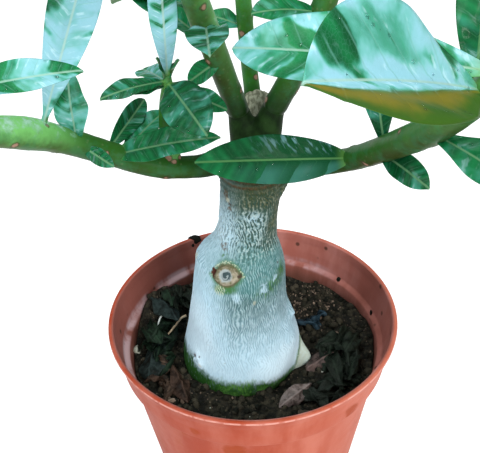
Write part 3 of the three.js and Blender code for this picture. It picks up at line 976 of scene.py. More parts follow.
class Tree:
    """Short calls to add nodes to a shader or geometry tree and to link them."""

    def __init__(self, tree: NodeTree) -> None:
        """Keeps the tree that the calls work on."""
        self.tree = tree

    def add(self, kind: str, inputs: Feeds | None = None, **settings: object) -> Node:
        """Adds a node.

        Args:
            kind: The node's type.
            inputs: A value or a flow for each input that is set.
            settings: The node's own settings.

        Returns:
            The node.
        """
        node = self.tree.nodes.new(kind)
        for name, value in settings.items():
            setattr(node, name, value)
        for key, value in (inputs or {}).items():
            self.feed(node.inputs[key], value)
        return node

    def outs(self, kind: str, inputs: Feeds | None = None, **settings: object) -> dict[str, Flow]:
        """Adds a node and returns its outputs by name."""
        return {socket.name: Flow(self, socket) for socket in self.add(kind, inputs, **settings).outputs}

    def out(self, kind: str, inputs: Feeds | None = None, key: int | str = 0, **settings: object) -> Flow:
        """Adds a node and returns one of its outputs."""
        return Flow(self, self.add(kind, inputs, **settings).outputs[key])

    def feed(self, socket: NodeSocket, value: Input) -> None:
        """Links a socket to a flow, or sets the socket's own value.

        Args:
            socket: The socket.
            value: What it takes.
        """
        if isinstance(value, Flow):
            self.tree.links.new(value.socket, socket)
        else:
            socket.default_value = value

    def math(self, operation: str, a: Input, b: Input = 0.0) -> Flow:
        """A math node's result."""
        return self.out("ShaderNodeMath", {0: a, 1: b}, operation=operation)

    def vector(self, operation: str, a: Input, b: Input, key: int | str = 0) -> Flow:
        """A vector math node's result."""
        return self.out("ShaderNodeVectorMath", {0: a, 1: b}, key, operation=operation)

    def split(self, vector: Input) -> tuple[Flow, ...]:
        """The x, y and z of a vector."""
        return tuple(self.outs("ShaderNodeSeparateXYZ", {0: vector}).values())

    def joined(self, x: Input, y: Input, z: Input) -> Flow:
        """The vector of x, y and z."""
        return self.out("ShaderNodeCombineXYZ", {0: x, 1: y, 2: z})

    def mix(self, share: Input, a: Input, b: Input, blend: str = "MIX") -> Flow:
        """Two colours mixed by a share.

        Args:
            share: How much of the upper colour shows.
            a: The colour beneath.
            b: The upper colour.
            blend: The way they mix.

        Returns:
            The mixed colour.
        """
        under, over = ((*c, 1.0) if isinstance(c, tuple) and len(c) == 3 else c for c in (a, b))
        inputs = {0: share, 6: under, 7: over}
        return self.out("ShaderNodeMix", inputs, 2, data_type="RGBA", blend_type=blend)

    def paint(self, colour: Input, *layers: tuple[Input, Input]) -> Input:
        """Lays colours over a colour one after another, each by its share.

        Args:
            colour: The lowest colour.
            layers: A share and a colour for each layer.

        Returns:
            The colour that shows.
        """
        for share, paint in layers:
            colour = self.mix(share, colour, paint)
        return colour

    def noise(self, vector: Input, scale: Input, detail: float = 3.0, rough: float = 0.55) -> Flow:
        """Noise from 0 to 1, with scale in cells to a metre."""
        inputs = {"Vector": vector, "Scale": scale, "Detail": detail, "Roughness": rough}
        return self.out("ShaderNodeTexNoise", inputs)

    def stretched(self, vector: Input, scale: Row) -> Flow:
        """A vector scaled along each axis."""
        return self.out("ShaderNodeMapping", {"Vector": vector, "Scale": scale})

    def value(self, name: str) -> Flow:
        """A number stored at the mesh's points."""
        return self.out("ShaderNodeAttribute", key="Fac", attribute_name=name)

    def triple(self, name: str) -> tuple[Flow, ...]:
        """The three numbers of a vector stored at the mesh's points."""
        return self.split(self.out("ShaderNodeAttribute", key="Vector", attribute_name=name))

    def place(self) -> Flow:
        """The object's own coordinates, in metres."""
        return self.out("ShaderNodeTexCoord", key="Object")

    def group(self, effect: "Effect", **inputs: Input) -> dict[str, Flow]:
        """Places a shared effect and returns its outputs."""
        named = {name.replace("_", " "): value for name, value in inputs.items()}
        return self.outs("ShaderNodeGroup", named, node_tree=effect.group())


@dataclass(frozen=True)
class Effect:
    """A shader node group that more than one finish uses, built once from its inputs' starting values."""

    name: str
    takes: dict[str, float]
    build: Callable[[Tree, dict[str, Flow]], dict[str, Flow]]

    def group(self) -> NodeTree:
        """The group, made when it is first asked for.

        Returns:
            The group.
        """
        if self.name in bpy.data.node_groups:
            return bpy.data.node_groups[self.name]
        group = bpy.data.node_groups.new(self.name, "ShaderNodeTree")
        for name, start in self.takes.items():
            socket = group.interface.new_socket(name=name, in_out="INPUT", socket_type="NodeSocketFloat")
            socket.default_value = start
        tree = Tree(group)
        given = self.build(tree, tree.outs("NodeGroupInput"))
        for name in given:
            group.interface.new_socket(name=name, in_out="OUTPUT", socket_type="NodeSocketFloat")
        tree.add("NodeGroupOutput", given)
        return group


def build_speckle(tree: Tree, taken: dict[str, Flow]) -> dict[str, Flow]:
    """Scattered specks: a mask of round spots whose share of the surface is given.

    Args:
        tree: The group's tree.
        taken: The specks' scale and share.

    Returns:
        The mask.
    """
    spots = tree.outs("ShaderNodeTexVoronoi", {"Vector": tree.place(), "Scale": taken["Scale"]})
    chosen = tree.math("LESS_THAN", tree.split(spots["Color"])[0], taken["Share"])
    return {"Mask": chosen * spots["Distance"].ease(0.42, 0.18)}


def build_grime(tree: Tree, taken: dict[str, Flow]) -> dict[str, Flow]:
    """A mask of cloudy patches with ragged edges."""
    cloud = tree.noise(tree.place(), taken["Scale"], 5.0, 0.62)
    return {"Mask": (cloud - (0.78 - taken["Amount"] * 0.4)).ease(0.0, 0.12)}


def build_streaks(tree: Tree, taken: dict[str, Flow]) -> dict[str, Flow]:
    """Fine upright wavy wrinkles round an upright axis.

    Args:
        tree: The group's tree.
        taken: How many wrinkles there are, how long and how wavy they are, and how often they break.

    Returns:
        Masks of the grooves and ridges, and their height.
    """
    place = tree.place()
    x, y, _ = tree.split(place)
    turn = tree.math("ARCTAN2", y + 0.004, x + 0.0035)
    bend = tree.noise(place, 95.0, 1.0) * 6.0
    waver = tree.noise(place, 330.0, 1.0) * taken["Waver"]
    phase = turn * taken["Count"] + (bend + waver) * TAU
    drawn_out = tree.vector("MULTIPLY", place, tree.joined(1.0, 1.0, taken["Reach"]))
    gaps = (tree.noise(drawn_out, 880.0, 1.0) - 0.5) * taken["Break"]
    wave = tree.math("SINE", phase) + gaps
    return {"Groove": wave.ease(0.0, -0.95), "Ridge": wave.ease(0.0, 0.95), "Height": wave}


def build_veins(tree: Tree, taken: dict[str, Flow]) -> dict[str, Flow]:
    """A blade's veins, read from the place on the blade.

    Args:
        tree: The group's tree.
        taken: The widths of the side veins and of the midrib.

    Returns:
        Masks of the midrib, of the side veins, of the fine net and of what lies between the veins.
    """
    aside, count, _ = tree.triple("blade_place")
    across = tree.triple("blade_share")[0]
    count = count + tree.noise(tree.place(), 130.0, 2.0) * 0.12
    off = abs(count - tree.math("ROUND", count))
    net = {"Vector": tree.place(), "Scale": 900.0}
    return {
        "Rib": abs(aside).ease(taken["Rib width"], 0.15),
        "Veins": off.ease(taken["Vein width"], 0.0) * abs(across).ease(0.98, 0.6),
        "Net": tree.out("ShaderNodeTexVoronoi", net, "Distance", feature="DISTANCE_TO_EDGE").ease(0.09, 0.0),
        "Between": off.ease(0.1, 0.5),
    }


SPECKLE = Effect("speckle", {"Scale": 600.0, "Share": 0.2}, build_speckle)
GRIME = Effect("grime", {"Scale": 60.0, "Amount": 0.5}, build_grime)
STREAKS = Effect(
    "upright wrinkles",
    {"Count": 140.0, "Reach": 0.2, "Waver": 1.0, "Break": 2.0},
    build_streaks,
)
VEINS = Effect("leaf veins", {"Vein width": 0.13, "Rib width": 0.75}, build_veins)


# Finishes


class Finish:
    """A material whose shader is a single Principled BSDF, dressed by the class that extends this one."""

    name = "finish"
    slot = ""
    plain: dict[str, float | Row] = {}

    def __init__(self, tone: Enum | None = None) -> None:
        """Builds the material.

        Args:
            tone: One of the finish's tones, after which the material is named.
        """
        self.tone = tone
        self.material = bpy.data.materials.new(tone.value if tone else self.name)
        self.material.use_nodes = True
        self.shader = self.material.node_tree.nodes["Principled BSDF"]
        for name, value in self.plain.items():
            self.shader.inputs[name].default_value = value
        self.tree = Tree(self.material.node_tree)
        self.dress()

    def dress(self) -> None:
        """Adds what changes over the surface, which is nothing on a plain finish."""

    def surface(self, colour: Input, rough: Input, height: Input, rise: float, strength: float) -> None:
        """Feeds the shader.

        Args:
            colour: The base colour.
            rough: The roughness.
            height: The height of a bump that turns the normal.
            rise: The metres that height 1 stands for.
            strength: How much of the bump shows.
        """
        bump = self.tree.out("ShaderNodeBump", {"Height": height, "Distance": rise, "Strength": strength})
        for name, value in (("Base Color", colour), ("Roughness", rough), ("Normal", bump)):
            self.tree.feed(self.shader.inputs[name], value)


class PotPlastic(Finish):
    """Salmon terracotta plastic: satin, water-marked outside, browner and soiled inside, with painted shade
    on its left side, painted light on its right, and painted highlights on the lip's edge and the inner
    ledge.
    """

    name = "terracotta_plastic"
    slot = "pot_plastic"
    plain = {"Specular IOR Level": 0.07}
    salmon = (0.37, 0.06, 0.024)
    # Chalky water-mark colour, also laid as painted light on the right side.
    chalk_and_painted_light = (0.49, 0.14, 0.09)
    painted_left_shade = (0.26, 0.03, 0.012)
    rusty = (0.32, 0.06, 0.014)
    stain = (0.3, 0.04, 0.004)
    inner = (0.38, 0.12, 0.092)
    faded = (0.5, 0.2, 0.17)
    shaded = (0.2, 0.065, 0.05)
    muddy = (0.06, 0.03, 0.02)
    painted_ledge_highlight = (0.5, 0.37, 0.39)
    painted_lip_highlight = (0.62, 0.31, 0.26)
    ledge_height = 0.1055
    lip_height = 0.1211
    stains: Sequence[tuple[Row, float]] = (
        ((0.043, -0.0513, 0.1065), 0.006),
        ((-0.009, -0.061, 0.0925), 0.008),
        ((-0.0262, -0.0615, 0.107), 0.0035),
    )

    def dress(self) -> None:
        """Mixes the plastic's colours by side, height and grime."""
        tree = self.tree
        place = tree.place()
        x, _, z = tree.split(place)
        inside = tree.value("inside")
        streaky = tree.noise(tree.stretched(place, (1.0, 1.0, 0.25)), 70.0, 4.0)
        grime = tree.group(GRIME, Scale=38.0, Amount=0.55)["Mask"]
        outer = tree.paint(
            self.salmon,
            (streaky.ease(0.35, 0.7), self.chalk_and_painted_light),
            # Painted shade: the outer wall is darker on its left side.
            (x.ease(0.045, -0.04, 0.0, 0.5), self.painted_left_shade),
            # Painted light: the outer wall is lighter on its right side.
            (x.ease(0.015, 0.05, 0.0, 0.7), self.chalk_and_painted_light),
            (grime * z.ease(0.108, 0.088) * 0.75, self.rusty),
        )
        # Painted highlight: a pale band along the inner ledge, fading towards the right.
        shine = abs(z - self.ledge_height).ease(0.0032, 0.0008) * streaky.ease(0.35, 0.55)
        within = tree.paint(
            self.inner,
            (streaky.ease(0.4, 0.75), self.faded),
            (x.ease(0.01, -0.035, 0.0, 0.7), self.shaded),
            (x.ease(0.048, 0.066, 0.0, 0.6), self.shaded),
            ((z + streaky * 0.012).ease(0.115, 0.1) * 0.8, self.muddy),
            (shine * x.ease(0.05, 0.03, 0.0, 0.7), self.painted_ledge_highlight),
        )
        for spot, reach in self.stains:
            away = tree.vector("DISTANCE", place, spot, "Value") + tree.noise(place, 190.0, 4.0) * reach
            outer = tree.mix(away.ease(1.35 * reach, reach, 0.0, 0.85), outer, self.stain)
        # Painted highlight: a pale broken line along the lip's outer edge.
        lip = abs(z - self.lip_height).ease(0.0007, 0.0002)
        lip = lip * tree.noise(place, 260.0, 3.0).ease(0.35, 0.55, 0.2, 0.85)
        specks = tree.group(SPECKLE, Scale=260.0, Share=0.05)["Mask"]
        colour = tree.paint(outer, (lip, self.painted_lip_highlight), (inside, within), (specks * inside * 0.8, self.muddy))
        rough = tree.noise(place, 160.0, 4.0) * 0.24 + 0.4
        height = tree.noise(place, 2600.0, 2.0) * 0.1 + tree.noise(place, 90.0, 2.0)
        self.surface(colour, rough, height, 0.0006, 0.5)


class PottingMix(Finish):
    """Moist dark peat with brown, tan and grey grains."""

    name = "dark_potting_mix"
    slot = "potting_mix"
    plain = {"Specular IOR Level": 0.14}
    peat = (0.006, 0.006, 0.004)
    brown = (0.042, 0.037, 0.024)
    tan = (0.2, 0.15, 0.11)

    def dress(self) -> None:
        """Mixes peat and grains."""
        tree = self.tree
        place = tree.place()
        clod = tree.noise(place, 260.0, 5.0, 0.65)
        specks = tree.group(SPECKLE, Scale=950.0, Share=0.1)["Mask"]
        colour = tree.paint(self.peat, (clod.ease(0.42, 0.68), self.brown), (specks * 0.65, self.tan))
        lumps = clod + tree.noise(place, 1300.0, 3.0) * 0.4
        self.surface(colour, clod.ease(0.35, 0.7, 0.5, 0.95), lumps, 0.0016, 1.0)


class GrainTone(Enum):
    """What a scattered grain is made of."""

    CRUMB = "peat_crumb"
    BARK = "bark_grain"
    PERLITE = "perlite_grain"


class Grain(Finish):
    """A crumb of the mix, whose colour changes from grain to grain."""

    slot = "potting_mix"
    plain = {"Specular IOR Level": 0.14}
    ramps: dict[GrainTone, Sequence[Row]] = {
        GrainTone.CRUMB: ((0.005, 0.006, 0.0035), (0.052, 0.045, 0.03)),
        GrainTone.BARK: ((0.024, 0.02, 0.014), (0.26, 0.19, 0.14)),
        GrainTone.PERLITE: ((0.34, 0.36, 0.29), (0.62, 0.64, 0.58)),
    }

    def dress(self) -> None:
        """Mixes the two ends of the tone by the grain's own number."""
        tree = self.tree
        place = tree.place()
        mottle = tree.noise(place, 1100.0, 3.0)
        lot = tree.value("grain_tone") + (mottle - 0.5) * 0.8
        colour = tree.mix(lot.ease(0.1, 1.15), *self.ramps[self.tone])
        rough = mottle.ease(0.3, 0.7, 0.6, 0.95)
        self.surface(colour, rough, tree.noise(place, 2400.0, 3.0), 0.0005, 0.8)


@dataclass(frozen=True)
class Knot:
    """The eye-shaped knot on the trunk's front: its middle, its directions and its sizes in millimetres.

    The pupil holds its place across and up and its half width. The pit holds its place and half sizes.
    """

    centre: Row = (-10.6, -21.2, 159.9)
    right: Row = (0.9638, -0.2628, 0.0389)
    up: Row = (0.0308, 0.4513, 0.8923)
    half_width: float = 6.9
    half_height: float = 4.9
    pupil: Row = (-0.2, 0.1, 3.3)
    core: float = 2.2
    core_shift: float = 0.45
    swirl: float = 2.4
    pit: Row = (-6.2, 1.0, 1.4, 2.7)


class TrunkSkin(Finish):
    """Pale waxy skin with wrinkles, algae, corky scars, and green where the young arms leave it; whiter on
    the left and olive on the right partly as painted light, with painted shade in the crotch, on the algae's
    left and along the knot's outline.
    """

    name = "waxy_trunk_skin"
    slot = "trunk_skin"
    plain = {"Specular IOR Level": 0.12}
    white = (0.47, 0.68, 0.8)
    grey = (0.1, 0.19, 0.19)
    groove = (0.46, 0.55, 0.57)
    bloom = (0.66, 0.85, 0.96)
    crest = (0.6, 0.77, 0.84)
    gap = (0.035, 0.075, 0.055)
    bead = (0.44, 0.57, 0.56)
    teal = (0.08, 0.22, 0.22)
    algae = (0.014, 0.062, 0.009)
    moss = (0.085, 0.23, 0.045)
    rust = (0.1, 0.055, 0.022)
    olive = (0.036, 0.052, 0.015)
    husk = (0.13, 0.135, 0.065)
    cream = (0.5, 0.5, 0.38)
    wedge = (0.52, 0.6, 0.5)
    dark = (0.045, 0.025, 0.016)
    young = ((0.007, 0.02, 0.005), (0.022, 0.06, 0.013))
    stub = ((0.2, 0.205, 0.14), (0.46, 0.47, 0.35))
    flesh = ((0.13, 0.125, 0.065), (0.35, 0.31, 0.235))
    pupil = (0.33, 0.38, 0.38)
    core = (0.042, 0.068, 0.072)
    line = (0.11, 0.085, 0.035)
    pit = (0.075, 0.026, 0.017)
    lash = (0.5, 0.56, 0.42)
    fringe = (0.05, 0.16, 0.055)

    def dress(self) -> None:
        """Lays the marks over each other, from the widest to the smallest."""
        tree = self.tree
        place = tree.place()
        mottle = tree.noise(place, 210.0, 4.0, 0.6)
        patch = tree.noise(place, 620.0, 3.0, 0.6)
        fuzz = tree.noise(tree.stretched(place, (1.0, 1.0, 0.35)), 900.0, 3.0)
        body = tree.group(STREAKS, Count=134.0, Reach=0.4, Waver=1.6, Break=4.5)
        neck = tree.group(STREAKS, Count=62.0, Reach=0.75, Waver=1.5, Break=7.0)
        seam, net, algae = (tree.value(name) for name in ("seam", "net", "algae"))
        # pale: the whiteness, partly painted light; the bloom colour lies where it is highest.
        pale = tree.value("white") + (mottle - 0.5) * 0.4
        broken = seam * mottle.ease(0.25, 0.6, 0.35, 1.0)
        olive = tree.value("olive") * patch.ease(0.25, 0.65, 1.0, 0.85)
        beads = neck["Ridge"] * patch.ease(0.4, 0.6, 0.3, 0.95)
        mossy = (algae + (fuzz - 0.5) * 0.9).ease(0.1, 0.98) * algae.ease(0.0, 0.12)
        # tuft: the algae's colour, made darker towards the left as painted shade.
        tuft = mottle * 0.5 + fuzz * 0.5 - tree.split(place)[0].ease(-0.01, -0.028, 0.0, 0.16)
        waxed = tree.paint(
            self.grey,
            (pale.ease(0.0, 1.0), self.white),
            (pale.ease(0.85, 1.3), self.bloom),
            (tree.value("teal") * 0.9, self.teal),
        )
        colour = tree.paint(
            tree.mix(body["Groove"] * broken, waxed, self.groove, "MULTIPLY"),
            (body["Ridge"] * broken * 0.45, self.crest),
            # Olive, partly painted shade on the right of the neck.
            (olive, self.olive),
            (net * neck["Groove"] * 0.9, self.gap),
            (net * beads, tree.mix(olive, self.bead, self.husk)),
            # The arms' green, made very dark partly as painted shade in the crotch between them.
            (tree.value("young"), tree.mix(mottle.ease(0.3, 0.75), *self.young)),
            (tree.value("stub"), tree.mix(fuzz.ease(0.38, 0.62), *self.stub)),
            (tree.value("rust") * patch.ease(0.3, 0.6), self.rust),
            (tree.value("wedge") * patch.ease(0.3, 0.6, 0.75, 0.97), self.wedge),
            (mossy, tree.mix(tuft.ease(0.4, 0.66), self.algae, self.moss)),
            (tree.value("cream"), self.cream),
            (tree.value("dark"), self.dark),
        )
        fine = body["Height"] * seam + neck["Height"] * net * 1.3 + patch * 0.35
        self.surface(self.knot(colour, patch), mottle * 0.25 + 0.45, fine, 0.00016, 0.8)

    def knot(self, colour: Input, patch: Flow) -> Input:
        """Paints the eye-shaped knot over the skin.

        Args:
            colour: The skin's colour.
            patch: Fine noise.

        Returns:
            The colour with the knot's fringe, lashes, flesh, outline, pupil, core and pit.
        """
        tree = self.tree
        form = Knot()
        ragged = {"Vector": tree.place(), "Scale": 640.0, "Detail": 3.0}
        wander = tree.out("ShaderNodeTexNoise", ragged, "Color")
        wander = tree.vector("MULTIPLY", tree.vector("SUBTRACT", wander, (0.5,) * 3), (0.0018,) * 3)
        away = tree.vector("SUBTRACT", tree.place(), tuple(MM * c for c in form.centre))
        away = tree.vector("ADD", away, wander)
        ways = (form.right, form.up, tuple(np.cross(form.right, form.up)))
        u, v, depth = (tree.vector("DOT_PRODUCT", away, way, "Value") * (1 / MM) for way in ways)
        lid = abs(u / form.half_width) ** 2.0 + abs(v) / form.half_height
        px, py, reach = form.pupil
        kx, ky, wide, high = form.pit
        middle = self.away_from(u, v, px, py)
        heart = self.away_from(u, v, px + form.core_shift, py)
        turn = tree.math("ARCTAN2", v - py, u - (px + form.core_shift))
        swirl = tree.math("SINE", turn + heart * form.swirl)
        low = self.away_from(u * 0.5, v, -0.3, -5.9).ease(3.6, 1.6)
        fringe = tree.math("MAXIMUM", low, lid.ease(1.8, 1.15, 0.0, 0.8))
        stripes = abs(tree.math("FRACT", (u + v * 0.25) / 1.05) - 0.5).ease(0.34, 0.16)
        lashes = stripes * self.away_from(u, v, -3.2, -6.8).ease(3.3, 1.6)
        fine = tree.noise(tree.place(), 1250.0, 1.0)
        beads = abs(lid - 1.24).ease(0.2, 0.08) * fine.ease(0.46, 0.56) * v.ease(-1.6, 0.2)
        ripe = patch + (u - v) * 0.016
        layers = (
            (fringe * patch.ease(0.25, 0.5, 0.55, 1.0), self.fringe),
            (tree.math("MAXIMUM", lashes, beads) * 0.8, self.lash),
            (lid.ease(1.1, 0.85), tree.mix(ripe.ease(0.32, 0.66), *self.flesh)),
            # A dark outline round the lid, widened into painted shade along its groove.
            (abs(lid - 1.0).ease(0.28, 0.03, 0.0, 0.62), self.line),
            (abs(lid - 0.7).ease(0.09, 0.02, 0.0, 0.45) * v.ease(0.0, 1.0), self.line),
            (middle.ease(reach + 0.2, reach - 0.9), self.pupil),
            (
                heart.ease(form.core + 0.4, form.core - 0.5),
                tree.mix(swirl.ease(0.1, 1.0, 0.0, 0.75), self.core, self.pupil),
            ),
            ((abs((u - kx) / wide) + abs((v - ky) / high)).ease(1.1, 0.8), self.pit),
            (self.away_from(u, v, 6.0, 0.2).ease(1.5, 0.5, 0.0, 0.9), self.dark),
        )
        near = abs(depth).ease(9.0, 6.0)
        return tree.paint(colour, *((share * near, paint) for share, paint in layers))

    def away_from(self, u: Flow, v: Flow, x: float, y: float) -> Flow:
        """Distance on the skin from a spot."""
        return self.tree.math("SQRT", abs(u - x) ** 2.0 + abs(v - y) ** 2.0)


class StemBark(Finish):
    """Smooth green bark with corky leaf scars: greener and lighter on top and browner beneath, partly
    painted light from above, with painted highlights on top, patches of painted sheen and painted shade at
    its foot.
    """

    slot = "leafy_stem"
    plain = {"Specular IOR Level": 0.1, "Coat Weight": 0.05, "Coat Roughness": 0.3}
    tones: dict[BarkTone, Sequence[Row]] = {
        BarkTone.OLIVE: ((0.026, 0.11, 0.014), (0.03, 0.045, 0.007)),
        BarkTone.BRIGHT: ((0.035, 0.19, 0.018), (0.022, 0.08, 0.01)),
    }
    fresh = (0.18, 0.5, 0.14)
    painted_top_highlight = (0.36, 0.58, 0.46)
    scar = (0.32, 0.19, 0.13)
    cork = (0.05, 0.034, 0.018)
    speck = (0.13, 0.18, 0.08)
    shade = (0.008, 0.028, 0.007)
    cool_sheen = (0.03, 0.17, 0.07)

    def dress(self) -> None:
        """Mixes the green and brown sides, the young end, cork specks and scars."""
        tree = self.tree
        green, brown = self.tones[self.tone]
        place = tree.place()
        mottle = tree.noise(place, 170.0, 4.0, 0.6)
        hoar = tree.noise(place, 120.0, 5.0, 0.7)
        # lit: how much the bark faces up. The upper side is painted greener and lighter, partly as painted
        # light from above, and the fresh colour shows only there.
        lit = tree.value("top") + (mottle - 0.5) * 0.7
        fresh = tree.value("fresh") * lit.ease(0.1, 0.9, 0.12, 1.0)
        # Painted highlight: pale spots on the lit top of the fresh end.
        top_highlight_share = hoar.ease(0.45, 0.62) * lit.ease(0.5, 1.0) * fresh.ease(0.1, 0.5)
        ragged = tree.value("scar") + (tree.noise(place, 700.0, 2.0) - 0.5) * 0.5
        colour = tree.paint(
            brown,
            (lit.ease(0.15, 0.75), green),
            (fresh, self.fresh),
            # Painted sheen in cool patches.
            (hoar.ease(0.44, 0.62, 0.0, 0.4), self.cool_sheen),
            (top_highlight_share, self.painted_top_highlight),
            (tree.group(SPECKLE, Scale=620.0, Share=0.2)["Mask"] * 0.3, self.speck),
            # Painted shade at the stem's foot, where it leaves what carries it.
            (tree.value("foot") * mottle.ease(0.3, 0.7, 0.9, 0.6), self.shade),
            (ragged.ease(0.3, 0.55, 0.0, 0.7), self.cork),
            (ragged.ease(0.55, 0.8), self.scar),
        )
        self.surface(colour, mottle * 0.2 + 0.34, tree.noise(place, 500.0, 3.0), 0.0002, 0.4)


class LeafGreen(Finish):
    """Glossy wet leaf: emerald above with a pale midrib and veins, olive beneath.

    A blade's "pale" lays painted sky reflection over it, lighter and bluer, and below 0 makes it darker with
    painted sheen in scallops and streaks. "browned" turns its near half olive-brown.
    """

    name = "glossy_leaf"
    slot = "leafy_stem"
    plain = {"Specular IOR Level": 0.1, "Coat Roughness": 0.1, "Coat IOR": 1.4}
    deep = (0.002, 0.062, 0.018)
    bright = (0.008, 0.2, 0.06)
    vivid = (0.06, 0.38, 0.26)
    sheen = (0.26, 0.52, 0.61)
    glint = (0.5, 0.74, 0.82)
    cool_sheen = (0.045, 0.19, 0.15)
    beneath = (0.05, 0.15, 0.035)
    browned = ((0.15, 0.13, 0.012), (0.033, 0.09, 0.007))
    rib = (0.1, 0.27, 0.09)
    pale_rib = (0.36, 0.56, 0.5)
    pale_vein = (0.16, 0.42, 0.36)
    vein = (0.04, 0.2, 0.075)
    stalk = (0.16, 0.38, 0.07)
    brown = (0.16, 0.09, 0.035)

    def dress(self) -> None:
        """Mixes blade, veins, stalk and underside."""
        tree = self.tree
        place = tree.place()
        blade = tree.triple("blade_place")
        across, down, below = tree.triple("blade_share")
        veins = tree.group(VEINS, Vein_width=0.07, Rib_width=0.6)
        pale, browned = tree.value("pale"), tree.value("browned")
        dark = pale.ease(0.0, -0.5)
        mottle = tree.noise(place, 95.0, 3.0)
        own = tree.math("FRACT", (blade[2] + 1.0) * 0.618)
        tone = mottle * 0.6 + own * 0.4 + veins["Between"] * 0.15 - dark * down.ease(0.35, 0.8, 0.45, 0.1)
        swell = tree.noise(self.woven(blade, 0.075, 0.9), 0.9, 1.0, 0.4) * 0.5
        swell = swell + tree.noise(place, 90.0, 3.0, 0.6) * 0.5
        # The near half of a browned blade is olive-brown, tan towards its edge.
        brown_half = browned * across.ease(0.16, 0.42) * (down + swell).ease(1.6, 1.4, 0.5, 1.0)
        isle = tree.noise(self.woven(blade, 0.07, 0.62), 1.0, 1.0, 0.4) * 0.85
        isle = (isle + tree.noise(place, 170.0, 2.0, 0.5) * 0.15).ease(0.47, 0.36, 0.0, 0.85)
        # gleam: painted highlight beside the midrib of a browned blade.
        gleam = browned * abs(across).ease(0.34, 0.06, 0.0, 0.7) * swell.ease(0.35, 0.6, 0.4, 1.0)
        # lit: painted sky reflection, raised by the blade's pale; it lays the vivid and sheen colours, the
        # glints and the gloss.
        lit = (swell.ease(0.36, 0.64, 0.08, 0.8) + pale) * brown_half.ease(0.0, 0.8, 1.0, 0.0)
        lit = lit - isle * pale.ease(0.2, 0.6) + gleam
        fine = tree.noise(self.woven(blade, 0.2, 2.6), 1.0, 2.0)
        cell = tree.math("FRACT", blade[1] * 0.45 + mottle * 0.3)
        # Painted sheen on a dark blade: cool scallops between the side veins on one half, and streaks of
        # sheen on the other.
        scallop = cell.ease(0.0, 0.9, 0.15, 1.0) * across.ease(0.02, 0.6) * down.ease(0.85, 0.55)
        streak = fine.ease(0.5, 0.66) * across.ease(-0.15, -0.55) * down.ease(0.75, 0.4, 0.0, 0.42)
        # Painted glints: thin pale streaks along the side veins where the blade is lit.
        glint = fine.ease(0.58, 0.72) * lit.ease(0.2, 1.4, 0.0, 0.55)
        lines = tree.mix(pale, self.vein, self.pale_vein)
        toward_tan = across + (mottle - 0.5) * 0.9
        colour = tree.paint(
            self.deep,
            (tone.ease(0.3, 0.85), self.bright),
            (lit.ease(0.5, 1.3), self.vivid),
            (lit.ease(0.8, 1.7), self.sheen),
            # Painted sheen: cool scallops between the veins of a dark blade.
            (dark * scallop * 0.75, self.cool_sheen),
            (dark * streak, self.sheen),
            (glint, self.glint),
            (veins["Net"] * 0.1, lines),
            (veins["Veins"] * pale.ease(-0.5, 0.0, 0.15, 0.35), lines),
            (brown_half, tree.mix(toward_tan.ease(0.4, 0.85), *self.browned)),
            (below, tree.mix(veins["Veins"] * 0.35, self.beneath, self.rib)),
            (veins["Rib"] * 0.8, tree.mix(pale, self.rib, self.pale_rib)),
            (down.ease(0.14, 0.02), self.stalk),
            (tree.value("burnt") * down.ease(0.86, 0.93), self.brown),
        )
        tree.feed(self.shader.inputs["Coat Weight"], lit.ease(0.0, 1.2, 0.05, 0.4))
        height = veins["Between"] * 0.3 - veins["Veins"] * 0.5 + tree.noise(place, 240.0, 3.0) * 1.8
        self.surface(colour, (lit + glint).ease(-0.3, 1.1, 0.55, 0.27), height, 0.00014, 0.7)

    def woven(self, blade: Sequence[Flow], across: float, rows: float) -> Flow:
        """A place on the blade for noise drawn out along the side veins, different on every blade."""
        return blade[0].tree.joined(blade[0] * across, blade[1] * rows, blade[2] * 3.7)


class DeadLeaf(Finish):
    """Dead leaf: dark, dull and mottled, with its veins still showing."""

    slot = "dry_leaf"
    plain = {"Specular IOR Level": 0.08}

    def __init__(self, name: str, dark: Row, light: Row) -> None:
        """Builds one dead leaf's finish between two colours.

        Args:
            name: The material's name.
            dark: Its darker colour.
            light: Its lighter colour.
        """
        self.name = name
        self.dark = dark
        self.light = light
        super().__init__()

    def dress(self) -> None:
        """Mottles the leaf and draws its veins."""
        tree = self.tree
        mottle = tree.noise(tree.place(), 190.0, 5.0, 0.65)
        veins = tree.group(VEINS, Vein_width=0.16, Rib_width=0.9)
        lines = tree.math("MAXIMUM", veins["Veins"] * 0.4, veins["Rib"])
        lighter = tuple(1.5 * c for c in self.light)
        colour = tree.paint(self.dark, (mottle.ease(0.35, 0.68), self.light), (lines * 0.45, lighter))
        self.surface(colour, mottle.ease(0.3, 0.7, 0.3, 0.65), mottle + lines * 0.5, 0.0008, 0.8)


class Water(Finish):
    """Clear water drops."""

    name = "water_drop"
    slot = "leafy_stem"
    plain = {
        "Base Color": (0.95, 1.0, 1.0, 1.0),
        "Roughness": 0.03,
        "Transmission Weight": 1.0,
        "IOR": 1.33,
    }


class PaleFloor(Finish):
    """Plain pale floor."""

    name = "pale_floor"
    plain = {
        "Base Color": (0.5, 0.5, 0.5, 1.0),
        "Roughness": 0.8,
        "Specular IOR Level": 0.1,
        "Emission Color": (1.0, 1.0, 1.0, 1.0),
        "Emission Strength": 0.72,
    }


# Geometry Nodes

DENSITY = "Count to a square metre"
WELD_DISTANCE = 0.000001
DRILL_SIDES = 32


